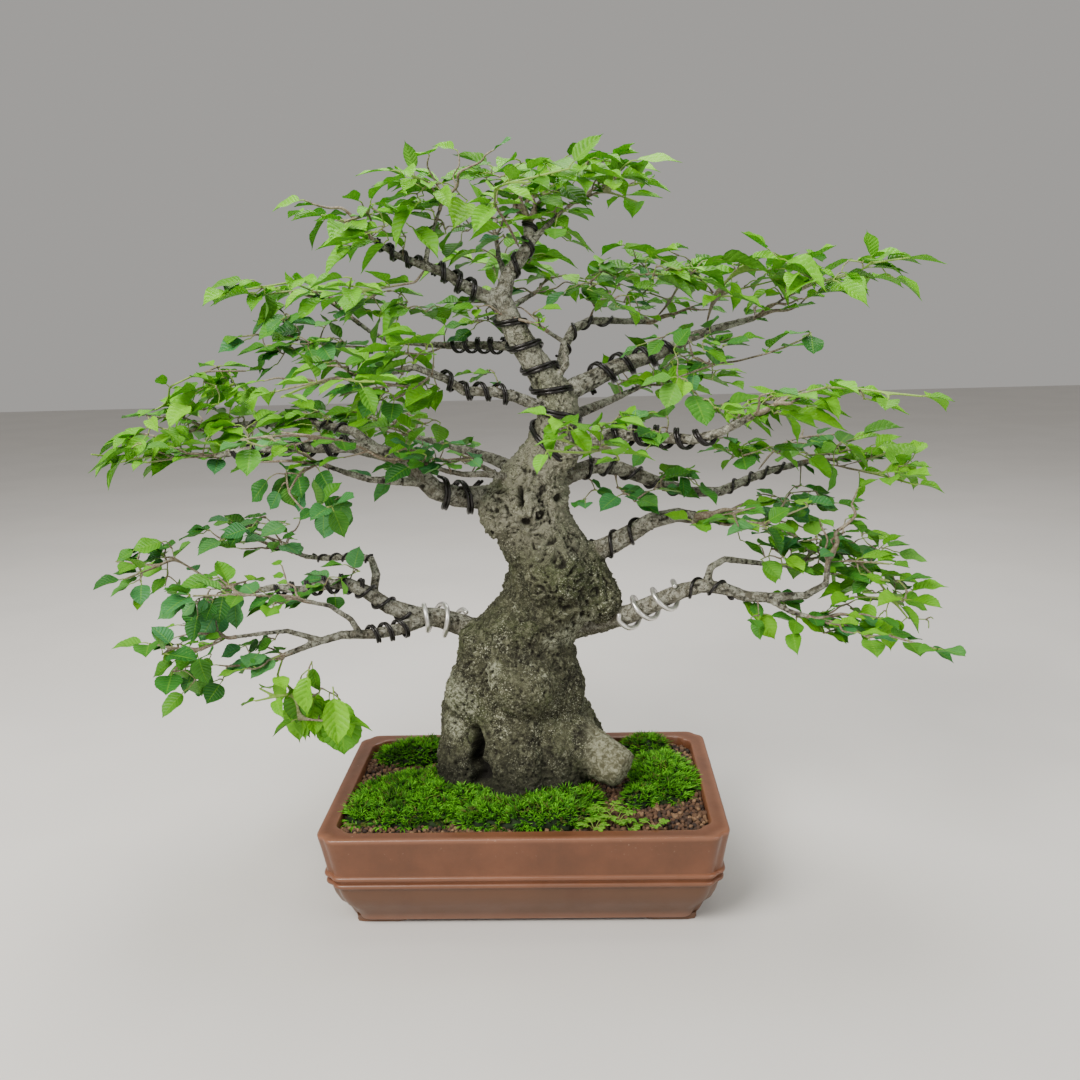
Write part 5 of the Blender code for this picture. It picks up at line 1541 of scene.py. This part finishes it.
def read_spray(node):
    """The twigs of a solid spray as a mesh, and its leaves as (base, way, up)."""
    bm = welded(node)
    leaves, spent = [], set()
    for tip in bm.verts:
        if len(tip.link_faces) != 4:
            continue
        ring = {edge.other_vert(tip) for edge in tip.link_edges}
        rims = [edge for v in ring for edge in v.link_edges if edge.other_vert(v) in ring]
        rims = sorted(in_order(rims), key=lambda edge: edge.calc_length())
        rims = [edge for edge in rims if any(tip in face.verts for face in edge.link_faces)]
        if len(ring) != 4 or len(rims) != 4:
            continue
        thin, wide = rims[0].calc_length(), rims[-1].calc_length()
        if not (0.0008 < thin < 0.0012 and wide > 0.004):
            continue
        foot = in_order({e.other_vert(v) for v in ring for e in v.link_edges} - ring - {tip})
        base = sum((v.co for v in foot), Vector()) / len(foot)
        up = (rims[0].verts[0].co - rims[0].verts[1].co).normalized()
        if up.z < 0:
            up.negate()
        leaves.append((base, tip.co - base, up))
        spent |= ring | {tip}
    bmesh.ops.delete(bm, geom=in_order(spent), context="VERTS")
    bmesh.ops.holes_fill(bm, edges=[e for e in bm.edges if e.is_boundary], sides=6)
    bmesh.ops.join_triangles(bm, faces=bm.faces, angle_face_threshold=0.5, angle_shape_threshold=1.2)
    bmesh.ops.recalc_face_normals(bm, faces=bm.faces)
    return bm, leaves


def age_of(node):
    """The age that the record's slot gives a spray."""
    slots = {row["node"]: row["material_slot"] for row in frame["record"]["subparts"]}
    return 0.12 if slots[node] == "leaf_young" else 0.68


class BONSAI_OT_foliage(bpy.types.Operator):
    """Grows the foliage: round twigs and veined leaves for each spray, and finer twigs between them."""

    bl_idname = "bonsai.foliage"
    bl_label = "Foliage"

    def execute(self, context):
        settings = context.scene.bonsai_leaf
        draw = random.Random(settings.seed)
        maker = LeafMaker(draw, settings.thickness)
        wood = wood_tree()
        marks = ("age", "tint", "along", "across", "under", "stalk")
        twigs = twig_finish()
        leafy = leaf_finish("new_leaves", tuple(settings.young), tuple(settings.old))
        places, owners = [], []
        sprays = nodes_named("spray_")
        bundles = {node: Bundle(*marks) for node in sprays}
        self.boxes = (Vector(CAD_BOX[0]), Vector(CAD_BOX[1]))
        for node in sprays:
            bm, leaves = read_spray(node)
            places.extend(v.co[:] for v in bm.verts)
            owners.extend([node] * len(bm.verts))
            self.twig_piece(node, bm, twigs, age_of(node))
            hanging = "hang" in node
            for base, way, up in leaves:
                length = way.length
                age = age_of(node) + draw.uniform(-0.25, 0.25)
                if not hanging:
                    way = Vector((way.x, way.y, way.z * 0.45 - 0.02 * way.length))
                    up = up.lerp(UP, 0.5)
                length *= draw.uniform(0.95, 1.25)
                self.hang(maker, bundles[node], draw, wood, base, way, up, length, age)
        links = self.grow(draw, wood, np.array(places), owners, settings.reach, settings.crowding)
        self.link_pieces(links, bundles, maker, draw, wood, twigs, settings.length)
        for node in sprays:
            name = node.replace("spray", "leaves")
            piece = add_piece(name, bundles[node].mesh(name), [leafy], [node])
            piece.data.set_sharp_from_angle(angle=math.radians(70))
        return {"FINISHED"}

    def twig_piece(self, node, bm, material, age):
        """Rounds the spray's square twigs. They turn green towards their tips."""
        mesh = bpy.data.meshes.new(node)
        bm.to_mesh(mesh)
        bm.free()
        points = np.array([v.co[:] for v in mesh.vertices])
        wood_end = min(points, key=lambda p: np.hypot(p[0] - 0.01, p[1] - 0.03))
        away = np.linalg.norm(points - wood_end, axis=1)
        layer = mesh.attributes.new("youth", "FLOAT", "POINT")
        fresh = (1.15 if age < 0.4 else 0.55) * away / max(away.max(), 1e-6)
        layer.data.foreach_set("value", fresh.astype(np.float32))
        piece = add_piece(node.replace("spray", "twigs"), mesh, [material])
        rounding = piece.modifiers.new("round", "SUBSURF")
        rounding.levels = rounding.render_levels = 2
        apply_modifiers(piece)
        piece.data.shade_smooth()

    def in_box(self, point):
        low, high = self.boxes
        return all(low[k] - 0.014 < point[k] < high[k] + 0.012 for k in range(3))

    def hang(self, maker, bundle, draw, wood, base, way, up, length, age):
        """Adds a leaf unless it would run into the wood or out of the crown."""
        young = age < 0.4
        width = length * (draw.uniform(0.42, 0.56) if young else draw.uniform(0.60, 0.78))
        way = way.normalized()
        tip = base + way * (length * 1.1)
        if not self.in_box(tip):
            return
        hit = wood.ray_cast(base + way * 0.003, way, length)
        if hit[0] is not None:
            return
        stalk = draw.uniform(0.12, 0.22) * length
        maker.leaf(bundle, base, way, up, length * 0.88, width, age, stalk)

    def grow(self, draw, wood, places, owners, reach, crowding):
        """Joins each wanted leaf to the nearest twig or wood by a thin twig, nearest first."""
        wanted = []
        for centre, half, count, age, hang in PADS:
            for _ in range(round(count * crowding)):
                while True:
                    unit = Vector((draw.uniform(-1, 1), draw.uniform(-1, 1), draw.uniform(-1, 1)))
                    if unit.length < 1:
                        break
                spot = Vector(centre) + Vector([a * b for a, b in zip(unit, half)])
                wanted.append((spot, age, hang))
        bark = self.bark_places(wood)
        limbs = self.limbs(draw, places, owners)
        for limb in limbs:
            places = np.vstack([places, limb["line"]])
            owners = owners + [limb["who"]] * len(limb["line"])
        points = np.vstack([places, bark])
        owner = list(owners) + [None] * len(bark)
        spots = np.array([spot[:] for spot, _, _ in wanted])
        best = np.full(len(spots), 1e9)
        source = np.zeros(len(spots), int)
        for i, spot in enumerate(spots):
            away = np.linalg.norm(points - spot, axis=1)
            away[len(places) :] *= 1.25
            source[i] = int(away.argmin())
            best[i] = away[source[i]]
        links, link_at = limbs, {}
        left = set(range(len(spots)))
        while left:
            i = min(left, key=lambda k: best[k])
            left.remove(i)
            if best[i] > reach:
                continue
            start = points[source[i]]
            end = spots[i]
            gap = np.linalg.norm(end - start)
            if gap < 0.004:
                end = end + np.array([0, 0, 0.006])
                gap = np.linalg.norm(end - start)
            lift = [draw.uniform(-0.12, 0.12), draw.uniform(-0.12, 0.12), draw.uniform(-0.02, 0.22)]
            middle = (start + end) / 2 + np.array(lift) * gap
            kink = np.array([draw.uniform(-1, 1), draw.uniform(-1, 1), draw.uniform(-0.6, 0.6)]) * 0.05 * gap
            route = [start, start * 0.75 + middle * 0.25 + kink, middle - kink, end]
            line = smooth_line(route, max(2, int(gap / 0.010)))
            who = owner[source[i]] or self.nearest_owner(places, owners, end)
            parent = link_at.get(int(source[i]))
            first = len(points)
            steps = line[len(line) // 4 :]
            for k in range(len(steps)):
                link_at[first + k] = len(links)
            points = np.vstack([points, steps])
            owner.extend([who] * len(steps))
            _, age, hang = wanted[i]
            links.append({"line": line, "who": who, "parent": parent, "age": age, "hang": hang, "load": 1})
            rest = np.array(sorted(left), int)
            if len(rest):
                away = np.linalg.norm(spots[rest][:, None] - steps[None], axis=2)
                near = away.argmin(axis=1)
                gaps = away[np.arange(len(rest)), near]
                closer = gaps < best[rest]
                best[rest[closer]] = gaps[closer]
                source[rest[closer]] = first + near[closer]
        for link in reversed(links):
            if link["parent"] is not None:
                links[link["parent"]]["load"] += link["load"]
        return links

    def limbs(self, draw, places, owners):
        """Crooked limbs that carry on from the ends of the branches."""
        made = []
        for before, end, radius in BRANCH_ENDS:
            before, end = Vector(before), Vector(end)
            ahead = (end - before).normalized()
            count = 3 if radius < 0.005 else 6
            for k in range(count):
                turn = (k - (count - 1) / 2) * 1.25 * (2.4 / count) + draw.uniform(-0.25, 0.25)
                way = Matrix.Rotation(turn, 3, "Z") @ ahead
                way.z = way.z * 0.6 + draw.uniform(0.0, 0.35)
                way.normalize()
                share = 1.0 if k == count // 2 else draw.uniform(0.45, 0.7)
                reach = draw.uniform(0.045, 0.075) * (0.6 + 0.4 * share)
                line = [end - ahead * 0.008, end.copy()]
                while (line[-1] - end).length < reach:
                    kink = Vector((draw.uniform(-1, 1), draw.uniform(-1, 1), draw.uniform(-0.8, 0.8)))
                    step = line[-1] + (way + kink * 0.45).normalized() * draw.uniform(0.009, 0.014)
                    if not self.in_box(step + (step - end) * 0.3):
                        break
                    line.append(step)
                    way.z *= 0.8
                if len(line) < 4:
                    continue
                smooth = smooth_line([p[:] for p in line], 3)
                who = self.nearest_owner(places, owners, smooth[-1])
                radii = np.linspace(radius * (0.98 if share == 1.0 else share), 0.0007, len(smooth))
                limb = {"line": smooth, "who": who, "parent": None, "age": 0.45, "hang": 0.0, "load": 1}
                made.append({**limb, "radii": radii})
        return made

    def bark_places(self, wood):
        """Places on the thinner wood where a twig may start."""
        piece = bpy.data.objects["trunk_wood"].data
        count = len(piece.vertices)
        girth = np.empty(count, np.float32)
        piece.attributes["girth"].data.foreach_get("value", girth)
        points = np.empty(count * 3, np.float32)
        piece.vertices.foreach_get("co", points)
        points = points.reshape(-1, 3)
        thin = (girth < 0.020) & (points[:, 2] > 0.2)
        return points[thin][::23].astype(float)

    def nearest_owner(self, places, owners, point):
        return owners[int(np.linalg.norm(places - point, axis=1).argmin())]

    def link_pieces(self, links, bundles, maker, draw, wood, material, usual):
        """Twigs for the links, in one piece per side of the tree, and their leaves."""
        twigs = {}
        for link in links:
            line = link["line"]
            side = "left" if line[0][0] < 0 else "right"
            key = f"{side}_{'low' if line[0][2] < 0.45 else 'high'}"
            bundle = twigs.setdefault(key, Bundle("youth"))
            thick = 0.00062 + 0.00032 * math.sqrt(min(link["load"], 12))
            radii = link.get("radii", np.linspace(thick, 0.00055, len(line)))
            points, faces = tube_shape(line, radii, 6)
            fresh = 0.45 if "radii" in link else 0.95 - 0.45 * link["age"]
            youth = np.repeat(np.linspace(0.10, fresh, len(line)), 6)
            bundle.add(points, faces, youth=youth)
            self.link_leaves(link, bundles[link["who"]], maker, draw, wood, usual)
        for key, bundle in sorted(twigs.items()):
            add_piece(f"fine_twigs_{key}", bundle.mesh(f"fine_twigs_{key}"), [material])

    def link_leaves(self, link, bundle, maker, draw, wood, usual):
        line, age, hang = link["line"], link["age"], link["hang"]
        end = Vector(line[-1])
        ahead = Vector(line[-1] - line[-2]).normalized()
        out = Vector((end.x - 0.01, end.y - 0.03, 0)).normalized()

        def pose(lean):
            spread = Vector((draw.uniform(-1, 1), draw.uniform(-1, 1), draw.uniform(-0.35, 0.25)))
            flat = (ahead * 0.55 + out * 0.5 + spread * lean)
            flat.z = flat.z * 0.55 + draw.uniform(-0.20, 0.12)
            drop = Vector((draw.uniform(-0.35, 0.35), draw.uniform(-0.35, 0.1), -1))
            way = flat.normalized().lerp(drop.normalized(), hang).normalized()
            lying = Vector((draw.uniform(-0.45, 0.45), draw.uniform(-0.55, 0.15), 1.0))
            facing = Vector((draw.uniform(-0.5, 0.5), -1.0, 0.4))
            return way, lying.lerp(facing, hang).normalized()

        length = usual * draw.uniform(0.72, 1.15) * (0.86 if age > 0.4 else 1.2)
        if age < 0.3 and draw.random() < 0.3:
            length *= 1.3
        way, up = pose(0.55)
        self.hang(maker, bundle, draw, wood, end, way, up, length, age + draw.uniform(-0.2, 0.2))
        total = float(np.linalg.norm(np.diff(line, axis=0), axis=1).sum())
        for k in range(int(total / 0.016)):
            where = int((k + 0.6) / max(1, total / 0.016) * (len(line) - 1))
            if draw.random() < 0.25:
                continue
            way, up = pose(1.1)
            size = length * draw.uniform(0.60, 0.95)
            older = age + draw.uniform(-0.1, 0.3)
            self.hang(maker, bundle, draw, wood, Vector(line[where]), way, up, size, older)


# ---------------------------------------------------------------------------
# Seedlings
# ---------------------------------------------------------------------------

# Each seedling stands at (x, y) and has a height and a number of fronds.
SEEDLINGS = (
    (0.092, -0.088, 0.016, 6),
    (0.070, -0.100, 0.012, 5),
    (0.082, -0.076, 0.015, 5),
    (0.060, -0.090, 0.010, 4),
    (0.128, -0.099, 0.010, 3),
    (0.104, -0.100, 0.009, 3),
)


class BONSAI_OT_seedlings(bpy.types.Operator):
    """Grows the small lobed seedlings in front of the trunk."""

    bl_idname = "bonsai.seedlings"
    bl_label = "Seedlings"

    def execute(self, context):
        settings = context.scene.bonsai_leaf
        draw = random.Random(settings.seed + 1)
        maker = LeafMaker(draw, settings.thickness)
        bundle = Bundle("age", "tint", "along", "across", "under", "stalk")
        for x, y, height, fronds in SEEDLINGS:
            foot = Vector((x, y, SOIL_BOX[1].z - 0.001))
            for k in range(fronds):
                turn = 2.4 * k + draw.uniform(-0.3, 0.3)
                lean = Vector((math.cos(turn), math.sin(turn), draw.uniform(0.5, 1.1))).normalized()
                end = foot + lean * height * draw.uniform(0.9, 1.3)
                line = smooth_line([foot, foot.lerp(end, 0.5) + UP * height * 0.2, end], 4)
                shape = tube_shape(line, np.linspace(0.0005, 0.0003, len(line)), 5)
                bundle.add(*shape, age=0.1, tint=0.6, along=0.0, across=0.0, under=0.0, stalk=1.0)
                self.frond(bundle, maker, draw, line)
        material = leaf_finish("seedling_leaves", (0.200, 0.520, 0.030), (0.090, 0.330, 0.030))
        add_piece("seedlings", bundle.mesh("seedlings"), [material], ["sprig_front"])
        return {"FINISHED"}

    def frond(self, bundle, maker, draw, line):
        """Pairs of small leaflets towards the frond's end, and one at its tip."""
        end = Vector(line[-1])
        ahead = Vector(line[-1] - line[-2]).normalized()
        ahead.z *= 0.3
        ahead.normalize()
        across = ahead.cross(UP).normalized()
        maker.leaf(bundle, end, ahead, UP, 0.0075, 0.0055, 0.1, 0.001)
        for pair in range(2):
            at = Vector(line[-1 - pair * 2])
            for hand in (-1, 1):
                way = (across * hand + ahead * 0.5 + UP * 0.1).normalized()
                maker.leaf(bundle, at, way, UP, 0.0060 - 0.0006 * pair, 0.0042, 0.1, 0.001)


# ---------------------------------------------------------------------------
# Stage
# ---------------------------------------------------------------------------


class StageSettings(bpy.types.PropertyGroup):
    floor: bpy.props.FloatVectorProperty(
        name="Floor", description="Colour of the plain floor",
        default=(0.62, 0.60, 0.57), subtype="COLOR", size=3,
    )
    key: bpy.props.FloatProperty(
        name="Key Light", description="Power of the main soft light", default=108.0, unit="POWER"
    )
    fill: bpy.props.FloatProperty(
        name="Fill Light", description="Power of the fill light", default=22.0, unit="POWER"
    )
    lens: bpy.props.FloatProperty(
        name="Lens", description="Focal length of the camera", default=36.33, unit="CAMERA"
    )


class BONSAI_OT_stage(bpy.types.Operator):
    """Sets the plain floor, the soft studio light and the camera."""

    bl_idname = "bonsai.stage"
    bl_label = "Stage"

    def execute(self, context):
        settings = context.scene.bonsai_stage
        self.floor(settings)
        self.lights(context, settings)
        self.camera(context, settings)
        return {"FINISHED"}

    def floor(self, settings):
        paint = Finish("plain_floor")
        tone = tuple(settings.floor)
        base = paint.mix(paint.range(paint.noise(3.0, 2.0), 0.4, 0.6), tone, tuple(c * 0.97 for c in tone))
        material = paint.done(base, 0.75, None, specular_ior_level=0.2)
        mesh = mesh_of("floor", [(-6, -6, 0), (6, -6, 0), (6, 6, 0), (-6, 6, 0)], [(0, 1, 2, 3)])
        mesh.materials.append(material)
        floor = bpy.data.objects.new("floor", mesh)
        bpy.context.scene.collection.objects.link(floor)

    def lights(self, context, settings):
        world = bpy.data.worlds.new("studio")
        context.scene.world = world
        world.use_nodes = True
        world.node_tree.nodes["Background"].inputs[0].default_value = (1.0, 0.97, 0.93, 1)
        world.node_tree.nodes["Background"].inputs[1].default_value = 0.40
        self.softbox("key", (-1.2, -1.5, 2.0), (0.0, 0.0, 0.35), 1.3, settings.key, (1.0, 0.97, 0.92))
        self.softbox("fill", (1.7, -1.3, 1.2), (0.0, 0.0, 0.35), 1.4, settings.fill, (0.95, 0.97, 1.0))
        self.softbox("top", (0.1, 0.6, 2.2), (0.0, 0.0, 0.4), 1.4, settings.key * 0.45, (1.0, 0.99, 0.96))

    def softbox(self, name, place, target, size, power, colour):
        light = bpy.data.lights.new(name, "AREA")
        light.shape = "SQUARE"
        light.size = size
        light.energy = power
        light.color = colour
        lamp = bpy.data.objects.new(name, light)
        lamp.location = place
        lamp.rotation_euler = (Vector(target) - Vector(place)).to_track_quat("-Z", "Y").to_euler()
        bpy.context.scene.collection.objects.link(lamp)

    def camera(self, context, settings):
        """Stands a little right of the tree's middle, looks slightly down and leans a touch."""
        yaw, pitch, roll = math.radians(-2.17), math.radians(12.23), math.radians(-1.63)
        ahead = Vector((math.sin(yaw) * math.cos(pitch), math.cos(yaw) * math.cos(pitch), -math.sin(pitch)))
        right = Vector((math.cos(yaw), -math.sin(yaw), 0))
        up = right.cross(ahead)
        across = right * math.cos(roll) + up * math.sin(roll)
        over = up * math.cos(roll) - right * math.sin(roll)
        data = bpy.data.cameras.new("camera")
        data.lens = settings.lens
        data.sensor_width = 36.0
        data.clip_start, data.clip_end = 0.02, 50.0
        camera = bpy.data.objects.new("camera", data)
        turn = Matrix((across, over, -ahead)).transposed().to_4x4()
        camera.matrix_world = Matrix.Translation(Vector((0.062, -1.080, 0.600))) @ turn
        bpy.context.scene.collection.objects.link(camera)
        context.scene.camera = camera


# ---------------------------------------------------------------------------
# Add-on
# ---------------------------------------------------------------------------

STEPS = (
    BONSAI_OT_pot,
    BONSAI_OT_wood,
    BONSAI_OT_wires,
    BONSAI_OT_soil,
    BONSAI_OT_moss,
    BONSAI_OT_foliage,
    BONSAI_OT_seedlings,
    BONSAI_OT_stage,
)
SETTINGS = {
    "bonsai_pot": PotSettings,
    "bonsai_wood": WoodSettings,
    "bonsai_wire": WireSettings,
    "bonsai_soil": SoilSettings,
    "bonsai_moss": MossSettings,
    "bonsai_leaf": LeafSettings,
    "bonsai_stage": StageSettings,
}


class BONSAI_PT_panel(bpy.types.Panel):
    """Lists the steps that make the tree, and their settings."""

    bl_idname = "BONSAI_PT_panel"
    bl_label = "Bonsai Tree"
    bl_space_type = "VIEW_3D"
    bl_region_type = "UI"
    bl_category = "Bonsai"

    def draw(self, context):
        for step in STEPS:
            self.layout.operator(step.bl_idname)
        for key, group in SETTINGS.items():
            box = self.layout.box()
            for field in group.__annotations__:
                box.prop(getattr(context.scene, key), field)


def register():
    for group in SETTINGS.values():
        bpy.utils.register_class(group)
    for key, group in SETTINGS.items():
        setattr(bpy.types.Scene, key, bpy.props.PointerProperty(type=group))
    for item in (*STEPS, BONSAI_PT_panel):
        bpy.utils.register_class(item)


def unregister():
    for item in (BONSAI_PT_panel, *reversed(STEPS)):
        bpy.utils.unregister_class(item)
    for key, group in reversed(SETTINGS.items()):
        delattr(bpy.types.Scene, key)
        bpy.utils.unregister_class(group)


def main():
    register()
    bpy.ops.bonsai.pot()
    bpy.ops.bonsai.wood()
    bpy.ops.bonsai.wires()
    bpy.ops.bonsai.soil()
    bpy.ops.bonsai.moss()
    bpy.ops.bonsai.foliage()
    bpy.ops.bonsai.seedlings()
    bpy.ops.bonsai.stage()


if __name__ == "__main__":
    main()
